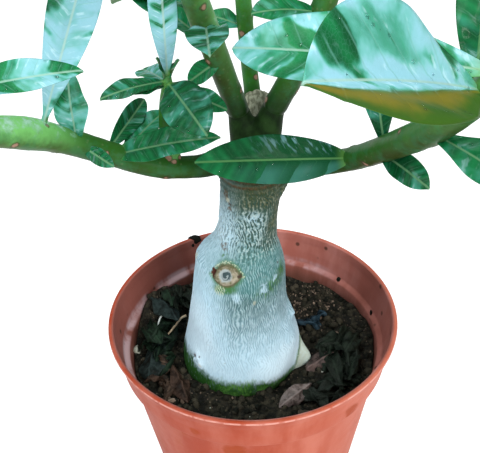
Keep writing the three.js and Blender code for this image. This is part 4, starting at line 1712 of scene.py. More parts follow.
class GrowTree(Tree):
    """A Geometry Nodes tree with named inputs, which is run on an object and baked into its mesh."""

    def __init__(self, name: str, measures: Sequence[str], counts: Sequence[str]) -> None:
        """Makes the tree.

        Args:
            name: The tree's name.
            measures: The inputs that are sizes or shares.
            counts: The inputs that are whole numbers.
        """
        super().__init__(bpy.data.node_groups.new(name, "GeometryNodeTree"))
        face = self.tree.interface
        face.new_socket(name="Geometry", in_out="OUTPUT", socket_type="NodeSocketGeometry")
        kinds = {
            "Geometry": "NodeSocketGeometry",
            **dict.fromkeys(measures, "NodeSocketFloat"),
            **dict.fromkeys(counts, "NodeSocketInt"),
            "Material": "NodeSocketMaterial",
        }
        self.keys = {
            label: face.new_socket(name=label, in_out="INPUT", socket_type=kind).identifier
            for label, kind in kinds.items()
        }
        self.taken = self.outs("NodeGroupInput")

    def chance(self, seed: Flow, kind: str = "FLOAT", **limits: Row) -> Flow:
        """A random number from 0 to 1 or, within limits, a random vector for each element."""
        lot = self.add("FunctionNodeRandomValue", {"Seed": seed, **limits}, data_type=kind)
        return Flow(self, live(lot.outputs))

    def close(self, geometry: Flow) -> None:
        """Realizes the geometry, sets its material and hands it out.

        Args:
            geometry: What the tree has made.
        """
        real = self.out("GeometryNodeRealizeInstances", {"Geometry": geometry})
        painted = self.out("GeometryNodeSetMaterial", {"Geometry": real, "Material": self.taken["Material"]})
        self.add("NodeGroupOutput", {"Geometry": painted})

    def run(self, piece: Object, values: dict[str, object]) -> None:
        """Runs the tree on an object with these inputs and bakes the result.

        Args:
            piece: The object.
            values: What each named input is set to.
        """
        modifier = piece.modifiers.new("grow", "NODES")
        modifier.node_group = self.tree
        for label, value in values.items():
            modifier[self.keys[label]] = value
        baked_mesh(piece)


def revolve_tree() -> GrowTree:
    """Turns a row of profile points (radius, 0, height) into a closed wall with drain holes in its floor.

    Returns:
        The tree, which takes the number of points and sides, the holes' sizes and the floor's thickness.
    """
    tree = GrowTree("turned pot", ("Hole radius", "Hole circle", "Floor"), ("Points", "Sides", "Holes"))
    taken = tree.taken
    cells = {"Vertices X": taken["Sides"] + 1.0, "Vertices Y": taken["Points"]}
    grid = tree.out("GeometryNodeMeshGrid", cells)
    index = tree.out("GeometryNodeInputIndex")
    column = tree.math("FLOOR", (index + 0.5) / taken["Points"])
    sampled = tree.add(
        "GeometryNodeSampleIndex",
        {"Geometry": taken["Geometry"], "Index": index - column * taken["Points"]},
        data_type="FLOAT_VECTOR",
    )
    tree.feed(live(sampled.inputs), tree.out("GeometryNodeInputPosition"))
    radius, _, height = tree.split(Flow(tree, live(sampled.outputs)))
    turn = column / taken["Sides"] * TAU
    place = tree.joined(radius * tree.math("COSINE", turn), radius * tree.math("SINE", turn), height)
    turned = tree.out("GeometryNodeSetPosition", {"Geometry": grid, "Position": place})
    closed = tree.out("GeometryNodeMergeByDistance", {"Geometry": turned, "Distance": WELD_DISTANCE})
    ring = tree.out("GeometryNodeMeshCircle", {"Vertices": taken["Holes"], "Radius": taken["Hole circle"]})
    sizes = {"Vertices": DRILL_SIDES, "Radius": taken["Hole radius"], "Depth": taken["Floor"] * 4.0}
    drill = tree.out("GeometryNodeMeshCylinder", sizes)
    drills = tree.out("GeometryNodeInstanceOnPoints", {"Points": ring, "Instance": drill})
    cut = {"Mesh 1": closed, "Mesh 2": drills}
    tree.close(tree.out("GeometryNodeMeshBoolean", cut, operation="DIFFERENCE", solver="EXACT"))
    return tree


def scatter_tree() -> GrowTree:
    """Strews lumpy grains over a surface, each with its own size, turn and tone.

    Returns:
        The tree, which takes the count, the sizes, the flatness, the lumpiness and the seed.
    """
    sizes = (DENSITY, "Least size", "Largest size", "Flatness", "Lumpiness")
    tree = GrowTree("strewn grains", sizes, ("Seed",))
    taken = tree.taken
    seed = taken["Seed"]
    spots = tree.out(
        "GeometryNodeDistributePointsOnFaces",
        {"Mesh": taken["Geometry"], "Density": taken[DENSITY], "Seed": seed},
    )
    share = tree.chance(seed + 1.0) ** 2.2
    size = taken["Least size"] + (taken["Largest size"] - taken["Least size"]) * share
    strewn = tree.out(
        "GeometryNodeInstanceOnPoints",
        {
            "Points": spots,
            "Instance": tree.out("GeometryNodeMeshIcoSphere", {"Radius": 1.0, "Subdivisions": 2}),
            "Rotation": tree.chance(seed, "FLOAT_VECTOR", Max=(TAU, TAU, TAU)),
            "Scale": tree.joined(size, size * 0.72, size * taken["Flatness"]),
        },
    )
    toned = tree.out(
        "GeometryNodeStoreNamedAttribute",
        {"Geometry": strewn, "Name": "grain_tone", "Value": tree.chance(seed + 2.0)},
        data_type="FLOAT",
        domain="INSTANCE",
    )
    real = tree.out("GeometryNodeRealizeInstances", {"Geometry": toned})
    rise = (tree.out("ShaderNodeTexNoise", {"Scale": 620.0, "Detail": 2.0}) - 0.5) * taken["Lumpiness"]
    normal = tree.out("GeometryNodeInputNormal")
    push = tree.out("ShaderNodeVectorMath", {0: normal, "Scale": rise}, operation="SCALE")
    tree.close(tree.out("GeometryNodeSetPosition", {"Geometry": real, "Offset": push}))
    return tree


def droplet_tree() -> GrowTree:
    """Sets flattened drops on the upper side of leaves.

    Returns:
        The tree, which takes the count, the largest drop's size and the seed.
    """
    tree = GrowTree("water drops", (DENSITY, "Largest size"), ("Seed",))
    taken = tree.taken
    upward = tree.math("GREATER_THAN", tree.split(tree.out("GeometryNodeInputNormal"))[2], 0.45)
    inputs = {
        "Mesh": taken["Geometry"],
        "Selection": upward,
        "Density": taken[DENSITY],
        "Seed": taken["Seed"],
    }
    spots = tree.outs("GeometryNodeDistributePointsOnFaces", inputs)
    ball = tree.out("GeometryNodeMeshUVSphere", {"Segments": 12, "Rings": 8, "Radius": 1.0})
    drops = tree.out(
        "GeometryNodeInstanceOnPoints",
        {
            "Points": spots["Points"],
            "Instance": tree.out("GeometryNodeTransform", {"Geometry": ball, "Scale": (1.0, 0.85, 0.42)}),
            "Rotation": spots["Rotation"],
            "Scale": taken["Largest size"] * (tree.chance(taken["Seed"]) ** 2.0 * 0.75 + 0.25),
        },
    )
    tree.close(drops)
    return tree


# Sub-assemblies


@dataclass
class Pot:
    """The nursery pot: a turned wall with a collar, a rolled lip, an inner ledge and drain holes."""

    sides: int = 176
    round_steps: int = 4
    roundness: float = 0.7
    # Radius by height under which the finish counts a point as inside. At the top this takes in the inner
    # half of the lip, where the inner colour is painted shade.
    between: Rows = (
        (0, 101.5, 102.5, POT_HEIGHT - 10, POT_HEIGHT - 5, POT_HEIGHT - 1.2),
        (47.5, 62.2, 65, 66.5, 67.5, 68.6),
    )
    sharp_angle: float = 40.0

    def profile(self) -> Array:
        """Radius and height from the underside's centre round the rim to the inner floor's centre.

        Returns:
            A row for each point.
        """
        foot = POT_HEIGHT - COLLAR_HEIGHT
        ledge = POT_HEIGHT - LEDGE_DROP
        inside = COLLAR_RADIUS - POT_WALL - 0.4
        corners = [
            (HUB_RADIUS, 0),
            (FOOT_RADIUS - 1.5, 0),
            (FOOT_RADIUS, 1.5),
            *((pot_inside(z) + POT_WALL, z) for z in (34, 68, foot - 1)),
            (COLLAR_RADIUS - 1.8, foot),
            (COLLAR_RADIUS - 0.6, foot + 8),
            (COLLAR_RADIUS + 0.7, POT_HEIGHT - 6),
            (RIM_RADIUS - 0.5, POT_HEIGHT - 2.2),
            (RIM_RADIUS, POT_HEIGHT - 1.1),
            (RIM_RADIUS - 0.3, POT_HEIGHT - 0.2),
            (RIM_RADIUS - 1.1, POT_HEIGHT),
            (RIM_RADIUS - 2.5, POT_HEIGHT - 0.4),
            (RIM_RADIUS - 3.2, POT_HEIGHT - 5),
            (inside, POT_HEIGHT - 10),
            (inside - 1.2, ledge + 0.8),
            (pot_inside(ledge), ledge - 0.6),
            *((pot_inside(z), z) for z in (88, 50)),
            (pot_inside(4), FLOOR_THICKNESS + 2),
            (FOOT_RADIUS - 4, FLOOR_THICKNESS),
            (HUB_RADIUS, FLOOR_THICKNESS),
        ]
        rounded = [corners[0]]
        for before, corner, after in zip(corners, corners[1:], corners[2:]):
            rounded += self.rounded(*(np.array(p, float) for p in (before, corner, after)))
        return np.array([(0, 0), *rounded, corners[-1], (0, FLOOR_THICKNESS)], float)

    def rounded(self, before: Array, corner: Array, after: Array) -> list[Array]:
        """Points of a small curve in place of a corner.

        Args:
            before: The corner before it.
            corner: The corner.
            after: The corner after it.

        Returns:
            The curve's points.
        """
        near = min(self.roundness, np.linalg.norm(before - corner) / 3, np.linalg.norm(after - corner) / 3)
        start = corner + unit(before - corner) * near
        end = corner + unit(after - corner) * near
        shares = np.linspace(0, 1, self.round_steps)
        return [(1 - t) ** 2 * start + 2 * t * (1 - t) * corner + t * t * end for t in shares]

    def build(self) -> None:
        """Turns the profile, bores the drain holes and dresses the pot."""
        radius, height = self.profile().T
        piece = make_object("nursery_pot", Skin(np.stack([radius, 0 * radius, height], 1), []))
        values = {
            "Points": len(radius),
            "Sides": self.sides,
            "Hole radius": DRAIN_RADIUS * MM,
            "Hole circle": DRAIN_CIRCLE * MM,
            "Holes": DRAIN_COUNT,
            "Floor": FLOOR_THICKNESS * MM,
            "Material": PotPlastic().material,
        }
        revolve_tree().run(piece, values)
        mesh = piece.data
        if signed_volume(mesh) < 0:
            mesh.flip_normals()
        mesh.shade_smooth()
        mesh.set_sharp_from_angle(angle=math.radians(self.sharp_angle))
        points = mesh_points(mesh)
        reach = np.hypot(points[:, 0], points[:, 1])
        within = (reach < np.interp(points[:, 2], *self.between)) & (points[:, 2] > FLOOR_THICKNESS / 2)
        write_values(mesh, {"inside": within.astype(float)})
        place_piece(piece, ["pot"])


@dataclass(frozen=True)
class GrainSort:
    """One sort of grain strewn on the mix: how many, how large, how flat, and round which spot."""

    name: str
    tone: GrainTone
    density: float
    least: float
    largest: float
    flatness: float
    lumpiness: float
    seed: int
    spot: Row = (0, 0, 100)


@dataclass
class Soil:
    """The potting mix: its rough top, and the crumbs, bark grains, chips and perlite strewn over it."""

    sides: int = 240
    rings: int = 50
    hole_allowance: float = 0.25
    clod_size: float = 6.5
    clod_rise: float = 2.0
    clod_seed: int = 71
    root_heights: Row = (57.6, 66, 78, 88)
    shoulder_heights: Row = (88, 50)
    shoulder_gap: float = 0.3
    wall_gap: float = 0.5
    crowding: float = 0.9
    chip_sides: int = 20
    chip_rings: int = 11
    chip_tilt: float = 1.45
    chip_lumps: float = 0.35
    chip_rise: float = 0.35
    chip_seed: int = 90
    tree: GrowTree = field(default_factory=scatter_tree)
    sorts: Sequence[GrainSort] = (
        GrainSort("soil_crumbs", GrainTone.CRUMB, 120000, 0.5, 2.6, 0.72, 0.0014, 3),
        GrainSort("bark_grains", GrainTone.BARK, 17000, 0.25, 1.1, 0.6, 0.0006, 8),
        GrainSort("bark_patch", GrainTone.BARK, 420000, 0.25, 1.0, 0.6, 0.0007, 12, (30, 31, 19)),
        GrainSort("front_chips", GrainTone.BARK, 60000, 0.5, 1.9, 0.5, 0.0008, 15, (-36, -36, 9)),
        GrainSort("perlite_grains", GrainTone.PERLITE, 900, 0.5, 1.2, 0.8, 0.0007, 21),
    )
    chips: Sequence[tuple[Row, Row, GrainTone, float]] = (
        ((-59, -1), (2.0, 3.1, 1.9), GrainTone.PERLITE, 0.3),
        ((-42.8, -24.4), (2.9, 1.8, 1.3), GrainTone.BARK, 0.55),
        ((-47, -22.5), (1.3, 1.1, 0.9), GrainTone.BARK, 0.5),
        ((42.9, 5.5), (2.0, 1.5, 1.1), GrainTone.BARK, 1.0),
        ((21.9, -44.5), (3.6, 2.1, 1.4), GrainTone.BARK, 0.35),
        ((-38.2, -36.4), (2.6, 1.3, 1.1), GrainTone.BARK, 0.9),
        ((-52.5, -12), (1.6, 2.2, 1.0), GrainTone.BARK, 0.7),
        ((-47.5, 3), (1.5, 2.1, 1.2), GrainTone.BARK, 0.8),
        ((-31.2, 61.2, 120.8), (3.9, 2.0, 2.6), GrainTone.CRUMB, 0.1),
        ((-33.6, 59.6, 118.2), (2.2, 1.4, 1.9), GrainTone.CRUMB, 0.2),
        ((47.8, 37.6, 108), (1.1, 1.1, 1.5), GrainTone.CRUMB, 0.2),
        ((61.6, 13, 105), (0.6, 1.1, 1.9), GrainTone.CRUMB, 0.2),
    )

    def top(self, x: Array, y: Array) -> Array:
        """Height of the mix with its clods.

        Args:
            x: Places across.
            y: Places in depth.

        Returns:
            A height for each place.
        """
        spots = np.stack([x, y, np.zeros_like(x)], -1).reshape(-1, 3)
        clods = fractal(spots / self.clod_size, self.clod_seed, 3).reshape(x.shape)
        rim = ramp(0, 4, pot_inside(SOIL_LEVEL) - np.hypot(x, y))
        return soil_height(x, y) + self.clod_rise * clods * rim

    def hole_ring(self, z: float, turns: Array) -> Array:
        """Points round the trunk's skin at a height, grown by the allowance.

        Args:
            z: The height.
            turns: The bearing of each point, in radians.

        Returns:
            The points.
        """
        heights = [row[0] for row in TRUNK_SECTIONS]
        place = float(np.interp(z, heights, range(len(heights))))
        row = (z, *along(TRUNK_SECTIONS, place)[1:])
        return trunk_ring(row, turns, self.hole_allowance)

    def surface(self, turns: Array) -> Array:
        """Rings of the mix's top from the trunk to the wall.

        Args:
            turns: The bearing of each point, in radians.

        Returns:
            The rings' points.
        """
        inner = self.hole_ring(SOIL_LEVEL, turns)
        wall = np.full(len(turns), pot_inside(SOIL_LEVEL) - self.wall_gap)
        rings = []
        for share in np.linspace(0, 1, self.rings) ** self.crowding:
            x, y, _ = (inner * (1 - share) + ring_at(0, 0, 0, share * wall, turns)).T
            height = self.top(x, y)
            if share == 1:
                x, y, _ = ring_at(0, 0, 0, pot_inside(height) - self.wall_gap, turns).T
            rings.append(np.stack([x, y, height], 1))
        return np.array(rings)

    def build(self) -> None:
        """Builds the mix and strews its grains."""
        turns = round_turns(self.sides)
        hole = [self.hole_ring(z, turns) for z in self.root_heights]
        top = self.surface(turns)
        gap = self.shoulder_gap
        shoulders = [ring_at(0, 0, z, pot_inside(z) - gap, turns) for z in self.shoulder_heights]
        bed = ring_at(0, 0, FLOOR_THICKNESS + SOIL_BED, FOOT_RADIUS - 3 * SOIL_BED, turns)
        rings = np.concatenate([hole, top, shoulders, [bed]])
        add_piece("potting_mix", loft(rings), PottingMix(), ["soil"])
        for sort in self.sorts:
            self.strew(sort, top)
        self.lay_chips()

    def strew(self, sort: GrainSort, top: Array) -> None:
        """Strews one sort of grain over the top, or over the part of it round a spot.

        Args:
            sort: The sort of grain.
            top: The rings of the mix's top.
        """
        index = np.arange(top.shape[0] * top.shape[1]).reshape(top.shape[:2])
        beside = np.roll(index, -1, axis=1)
        quads = np.stack([index[:-1], index[1:], beside[1:], beside[:-1]], -1).reshape(-1, 4)
        points = top.reshape(-1, 3)
        x, y, reach = sort.spot
        ragged = reach * (1 + 0.5 * fractal(points / 6, sort.seed, 2))
        near = np.hypot(points[:, 0] - x, points[:, 1] - y) < ragged
        quads = quads[near[quads[:, 0]]]
        piece = make_object(sort.name, Skin(points, quads.tolist()))
        values = {
            DENSITY: sort.density,
            "Least size": sort.least * MM,
            "Largest size": sort.largest * MM,
            "Flatness": sort.flatness,
            "Lumpiness": sort.lumpiness,
            "Seed": sort.seed,
            "Material": Grain(sort.tone).material,
        }
        self.tree.run(piece, values)
        piece.data.shade_smooth()
        place_piece(piece)

    def lay_chips(self) -> None:
        """Lays the larger chips and the pale bean of perlite."""
        for tone in GrainTone:
            skins = [
                self.chip(spot, sizes, i).filled_out({"grain_tone": shade})
                for i, (spot, sizes, kind, shade) in enumerate(self.chips)
                if kind is tone
            ]
            add_piece(f"{tone.value}_chips", join_skins(skins), Grain(tone))

    def chip(self, spot: Row, sizes: Row, number: int) -> Skin:
        """One lumpy chip, half sunk in the mix.

        Args:
            spot: Where it lies.
            sizes: Its half sizes.
            number: Its number, which shapes its lumps.

        Returns:
            The chip's skin.
        """
        turns = round_turns(self.chip_sides)
        tilts = np.linspace(-self.chip_tilt, self.chip_tilt, self.chip_rings)
        ball = np.array([ring_at(0, 0, math.sin(a), math.cos(a), turns) for a in tilts])
        spots = ball.reshape(-1, 3) * 1.2 + 7 * number
        lump = 1 + self.chip_lumps * fractal(spots, self.chip_seed, 3)
        ball = ball * lump.reshape(*ball.shape[:2], 1) * np.array(sizes)
        height = float(self.top(*np.array(spot[:2]))) + self.chip_rise * sizes[2]
        if len(spot) > 2:
            height = spot[2]
        return loft(ball + np.array([*spot[:2], height]))


@dataclass(frozen=True)
class Mark:
    """A mark on the trunk's skin: its centre, half width, rise or sinking, and depth of colour."""

    value: str
    centre: Row
    width: float
    rise: float = 0.0
    strength: float = 1.0


@dataclass
class Trunk:
    """The swollen trunk with its crown, fork arms and cut stub, fused into one skin and then wrinkled."""

    voxel: float = 0.59
    sides: int = 120
    steps: int = 240
    wrinkle_depth: float = 0.16
    arm_taper: float = 0.94
    arm_rings: int = 30
    arm_sides: int = 36
    stub_sides: int = 40
    arm_reach: Row = (1.5, 6)
    arm_heights: Row = (186, 197)
    crown_heights: Row = (206, 212)
    crotch_heights: Row = (192, 198)
    neck_heights: Row = (161, 173)
    olive_heights: Row = (164, 180)
    crackle_cell: Row = (2.6, 2.6, 9)
    ring_turn: float = 2.9
    smooth_rounds: int = 3
    crotch_rounds: int = 14
    # Whiteness of the skin by height at the front, left and right: partly the skin's own waxy bloom and
    # partly painted light, whiter on the left and less white on the right.
    white_front: Rows = (
        (104, 116, 124, 132, 140, 147, 154, 165, 170, 175, 181, 186, 193),
        (0.98, 0.9, 0.68, 0.44, 0.34, 0.17, 0.15, 0.06, 0.2, 0.24, 0.2, 0.08, 0),
    )
    white_left: Rows = (
        (104, 115, 124, 132, 138, 145, 151, 162, 166, 172, 178, 184, 190, 198),
        (1.0, 1.15, 1.3, 1.3, 1.18, 1.0, 0.8, 0.74, 0.82, 1.05, 1.1, 0.8, 0.8, 0.1),
    )
    white_right: Rows = (
        (104, 115, 124, 132, 140, 147, 153, 160, 166, 172, 180, 184, 190),
        (1.4, 1.2, 0.88, 0.55, 0.38, 0.27, 0.14, 0.04, 0.08, 0.15, 0.3, 0.15, 0),
    )
    wrinkled: Rows = ((100, 112, 126, 142, 158, 170), (0.12, 0.3, 0.7, 0.9, 0.75, 0.6))
    wedge_edge: Rows = ((88, 96, 104, 110, 117), (17.5, 19.2, 21.4, 22.8, 24))
    streak: Rows = ((5.0, -21.5, 150.0), (14.0, -12.0, 156.5))
    flesh_rise: float = 0.7
    marks: Sequence[Mark] = (
        Mark("dark", (-16.0, -19.2, 161.4), 1.0, -0.8),
        Mark("rust", (-10.8, -14.0, 170.7), 2.4, 0.4, 0.8),
        Mark("dark", (-12.6, -13.0, 171.2), 0.7, -0.3, 0.7),
        Mark("rust", (-9.3, -10.9, 195.2), 2.2, 0.5),
        Mark("cream", (-8.6, -12.2, 192.9), 1.1, 0.3, 0.7),
        Mark("dark", (-8.0, -13.2, 191.6), 0.9, -0.4),
        Mark("rust", (-8.1, -13.4, 189.6), 1.6, 0.4),
        Mark("cream", (-23.6, -6.3, 160.4), 1.7, 0.5, 0.8),
        Mark("cream", (-16.6, -16.0, 168.5), 1.5, 0.4, 0.55),
        Mark("rust", (-18.6, -14.6, 167.4), 1.1, 0.3, 0.6),
        Mark("white", (5.5, -21.8, 152.6), 2.9, 0.3, 0.58),
        Mark("cream", (1.2, -24.5, 146.7), 1.1, 0.3, 0.6),
        Mark("white", (-6.8, -24.7, 150.2), 3.0, 0.2, 0.6),
        Mark("white", (9.6, -17.0, 155.6), 2.5, 0.2, 0.45),
        Mark("white", (2.0, -15.4, 186.5), 4.5, 0.2, 0.6),
        Mark("dark", (11.7, -13.6, 160.8), 0.7, -0.3, 0.8),
        Mark("dark", (-27.8, -20.8, 112.0), 1.2, -0.8, 0.9),
        Mark("dark", (-26.0, -22.6, 109.8), 0.9, -0.5, 0.9),
        Mark("dark", (-25.2, -23.2, 113.4), 0.6, -0.3, 0.7),
        Mark("cream", (-24.2, -24.0, 109.6), 1.3, 0.3, 0.5),
        Mark("white", (19.0, -9.0, 126.5), 2.4, 2.0, 1.0),
        Mark("algae", (-11.6, -17.2, 167.6), 2.2, 0.1, 0.55),
        Mark("white", (-26.4, -22.2, 112.6), 3.2, 0.6, 1.3),
        Mark("white", (-24.8, -23.8, 109.8), 2.3, 0.5, 1.3),
    )

    def body(self) -> Skin:
        """The trunk's own skin, from its tap root to the crown.

        Returns:
            The skin.
        """
        turns = round_turns(self.sides)
        places = np.linspace(0, len(TRUNK_SECTIONS) - 1, self.steps)
        return loft(np.array([trunk_ring(along(TRUNK_SECTIONS, place), turns) for place in places]))

    def arms(self) -> list[Skin]:
        """The fork arms that carry the stems, and the cut stub.

        Returns:
            A skin for each.
        """
        skins = []
        for root, rows in FORK_ARMS:
            start = np.array(rows[0][:3], float)
            knee = start - set_off(rows) * ARM_KNEE
            middle = np.array(root[:3], float) * 0.4 + knee * 0.6
            arm = (
                root,
                (*middle, (root[3] + rows[0][3]) / 2),
                (*knee, rows[0][3] + ARM_SWELL),
                (*rows[0][:3], rows[0][3] * self.arm_taper),
            )
            skins.append(loft(stem_rings(arm, self.arm_rings, self.arm_sides, rows)))
        skins.append(loft(stem_rings(CUT_STUB, self.arm_rings, self.stub_sides, CUT_STUB)))
        return skins

    def fused(self) -> Object:
        """All of it fused into one even skin.

        Returns:
            The piece.
        """
        piece = make_object("trunk_skin", join_skins([self.body(), *self.arms()]))
        fuse = piece.modifiers.new("fuse", "REMESH")
        fuse.mode = "VOXEL"
        fuse.voxel_size = self.voxel * MM
        fuse.use_smooth_shade = True
        baked_mesh(piece)
        return piece

    def relaxed(self, mesh: Mesh, points: Array, rounds: int, weight: Array) -> Array:
        """Evens out the points by drawing each towards its neighbours.

        Args:
            mesh: Their mesh.
            points: The points.
            rounds: How many times they are drawn.
            weight: How strongly each one is drawn.

        Returns:
            The points' new places.
        """
        ends = numbers(mesh.edges, "vertices", 2, np.int32)
        near = np.concatenate([ends[:, 0], ends[:, 1]])
        far = np.concatenate([ends[:, 1], ends[:, 0]])
        count = np.bincount(near, minlength=len(points))[:, None]
        for _ in range(rounds):
            total = np.stack([np.bincount(near, points[far, k], len(points)) for k in range(3)], 1)
            points = points + weight[:, None] * (total / count - points)
        return points

    def skin_values(self, points: Array) -> tuple[Array, dict[str, Array]]:
        """How far the skin rises at each point, and the marks that the finish reads.

        Args:
            points: Places on the smooth skin.

        Returns:
            The rise in millimetres, and a share from 0 to 1 for each mark.
        """
        bearing, radius, off = trunk_polar(points)
        z = points[:, 2]
        cloud = fractal(points / 9, 5, 3)
        arm = ramp(*self.arm_reach, off - radius) * ramp(*self.arm_heights, z)
        arm = np.maximum(arm, ramp(*self.crown_heights, z))
        stub = self.stub_share(points)
        blurred = z + 4 * cloud
        left = ramp(0.15, 0.95, np.cos(np.radians(bearing + 172)))
        facing_right = np.cos(np.radians(bearing + 2)) + 0.3 * cloud
        right = ramp(-0.1, 0.85, facing_right)
        # Whiter on the left and less white on the right, partly as painted light.
        white = np.interp(blurred, *self.white_front)
        white = white + left * (np.interp(blurred, *self.white_left) - white)
        white = white + right * (np.interp(blurred, *self.white_right) - white)
        teal = hill(arc_from(bearing, -66, radius), 18) * hill(z - 160, 10)
        teal = np.minimum(1.8 * teal, 1) * (1 - 0.5 * ramp(0.1, 0.5, fractal(points / 4, 9)))
        neck = ramp(*self.neck_heights, blurred) * (1 - arm)
        # Olive where the neck faces right, partly painted shade on that side, and olive round the crown.
        olive = ramp(0.25, 0.9, facing_right) * ramp(*self.olive_heights, z)
        olive = np.maximum(olive, ramp(184, 193, z + 3 * cloud + 2.5 * right) * (1 - 0.5 * left))
        seam = np.interp(z, *self.wrinkled) * (1 - 0.55 * left * ramp(160, 148, z))
        seam = seam * (1 - neck) * (1 - arm)
        warp = np.stack([lattice_noise(points / 3, 11 + k) for k in range(3)], 1)
        folds = cell_seams(points / np.array(self.crackle_cell) + 0.5 * warp, 31)
        ringed = 0.5 + 0.5 * np.sin(z * self.ring_turn)
        values = {
            "white": np.clip(white, 0, 1.3),
            "seam": seam,
            "net": neck * (1 - 0.4 * left) * (1 - 0.6 * ramp(192, 200, z)),
            "teal": teal,
            "olive": np.clip(olive, 0, 1) * (1 - arm),
            "rust": ramp(197, 200, z) * (1 - ramp(205, 209, z)) * ringed,
            "wedge": self.wedge_share(points, bearing),
            "cream": np.zeros(len(points)),
            "dark": np.zeros(len(points)),
            "young": arm * (1 - stub),
            "stub": stub,
            "algae": self.algae(points, bearing, z, cloud),
        }
        rise = 0.5 * fractal(points / 13, 3, 2)
        rise -= self.wrinkle_depth * (1 - ramp(0.02, 0.4, folds)) * np.maximum(seam, 1.5 * neck)
        rise -= 0.5 * neck * ramp(190, 197, z) * (0.5 + 0.5 * np.sin(z * self.ring_turn + cloud))
        self.add_knot(points, rise, values)
        self.add_stub(points, rise, values, stub)
        for mark in self.marks:
            spot = hill(np.linalg.norm(points - np.array(mark.centre), axis=1), mark.width)
            rise += mark.rise * spot
            ragged = ramp(0.35, 0.75, spot + 0.6 * fractal(points / 1.1, 23, 2))
            values[mark.value] = np.maximum(values[mark.value], mark.strength * ragged)
            if mark.value == "white":
                for name in ("teal", "algae"):
                    values[name] = values[name] * (1 - ragged)
        return rise, values

    def wedge_share(self, points: Array, bearing: Array) -> Array:
        """The pale root flange at the right, below the white skin's edge.

        Args:
            points: Places on the skin.
            bearing: Their bearings in degrees.

        Returns:
            A share for each point.
        """
        edge = np.interp(points[:, 2], *self.wedge_edge)
        beyond = ramp(-0.5, 0.5, points[:, 0] - edge + 0.3 * fractal(points / 1.5, 29, 2))
        return beyond * ramp(50, 35, np.abs(bearing + 12)) * ramp(120, 117, points[:, 2])

    def algae(self, points: Array, bearing: Array, z: Array, cloud: Array) -> Array:
        """Green film: a band above the mix, a streak right of the knot, and the wedge's inner edge.

        Args:
            points: Places on the skin.
            bearing: Their bearings in degrees.
            z: Their heights.
            cloud: Noise at them.

        Returns:
            A share for each point.
        """
        edge = 103.6 + 5.5 * hill(bearing + 156, 36) - 4.2 * ramp(-85, -40, bearing) + 3.2 * cloud
        band = 1 - ramp(-3.5, 6.5, z - edge + 1.5 * fractal(points / 2.2, 37, 2))
        seam = hill(points[:, 0] - np.interp(z, *self.wedge_edge), 0.9) * ramp(117, 112, z)
        seam = seam * ramp(50, 35, np.abs(bearing + 12))
        streak = 0.75 * hill(from_segment(points, *self.streak), 4.6) * ramp(-0.5, 0.3, cloud)
        band = band * (1 - 0.8 * self.wedge_share(points, bearing))
        return np.maximum(np.maximum(band, streak), 0.7 * seam)

    def add_knot(self, points: Array, rise: Array, values: dict[str, Array]) -> None:
        """The eye-shaped knot's relief: flesh raised in a groove, a domed core and a pit at its corner.

        Args:
            points: Places on the skin.
            rise: How far the skin rises there, which is changed.
            values: The marks there, which are changed.
        """
        form = Knot()
        right, up = np.array(form.right), np.array(form.up)
        out = np.cross(right, up)
        away = points - np.array(form.centre)
        u = away @ right
        v = away @ up
        facing = ramp(8, 5, np.abs(away @ out))
        lid = (u / form.half_width) ** 2 + np.abs(v) / form.half_height
        middle = np.hypot(u - form.pupil[0], v - form.pupil[1])
        flesh = ramp(1.05, 0.85, lid) * facing
        pit = hill(np.hypot((u - form.pit[0]) / 1.3, (v - form.pit[1]) / 2.4), 1) * facing
        rise += self.flesh_rise * flesh - 0.45 * hill(lid - 1.05, 0.13) * facing
        rise += (0.35 * hill(middle, 1.2) - 0.5 * hill(middle - form.core, 0.5)) * flesh - 1.3 * pit
        stripes = 0.5 + 0.5 * np.sin(TAU * u / 1.08)
        rise += 0.3 * stripes * hill(np.hypot(u + 3.6, v + 7.3), 2.6) * facing
        over = hill(np.hypot(u / 8.2, v / 6.4) - 1, 0.12) * ramp(0, 1.5, v) * facing
        rise += 0.4 * over * (0.5 + 0.5 * np.sin(TAU * u / 1.7))
        calm = 1 - hill(np.hypot(u / 7.5, v / 6.5), 1) * facing
        for name in ("seam", "net", "teal"):
            values[name] = values[name] * calm

    def stub_share(self, points: Array) -> Array:
        """How much each point belongs to the cut stub."""
        away = from_segment(points, CUT_STUB[1][:3], CUT_STUB[-1][:3], 1.2)
        return ramp(8.5, 7.2, away) * ramp(209, 213, points[:, 2])

    def add_stub(
        self, points: Array, rise: Array, values: dict[str, Array], stub: Array
    ) -> None:
        """Grey-brown bark on the stub, and a speckled paler cut face with growth rings.

        Args:
            points: Places on the skin.
            rise: How far the skin rises there, which is changed.
            values: The marks there, which are changed.
            stub: How much each point belongs to the stub.
        """
        axis = set_off(CUT_STUB)
        away = points - np.array(CUT_STUB[-1][:3], float)
        above = away @ axis
        flat = np.linalg.norm(away - np.outer(above, axis), axis=1)
        cut = ramp(-0.9, -0.2, above) * ramp(6.4, 5.6, flat) * stub
        grain = fractal(points / 0.9, 81, 3)
        rings = 0.5 + 0.5 * np.sin(flat * 4.2 + grain)
        rise += cut * (0.25 * grain - 0.3 * hill(flat, 1.4)) + stub * 0.35 * fractal(points / 1.6, 83)
        values["cream"] = np.maximum(values["cream"], cut * 0.25 * rings)
        values["dark"] = np.maximum(values["dark"], cut * ramp(0.3, 0.6, grain) * 0.22)
        rim = hill(flat - 6.0, 0.9) * ramp(-1.2, -0.3, above) * stub
        values["rust"] = np.maximum(values["rust"] * (1 - stub), 0.55 * rim)

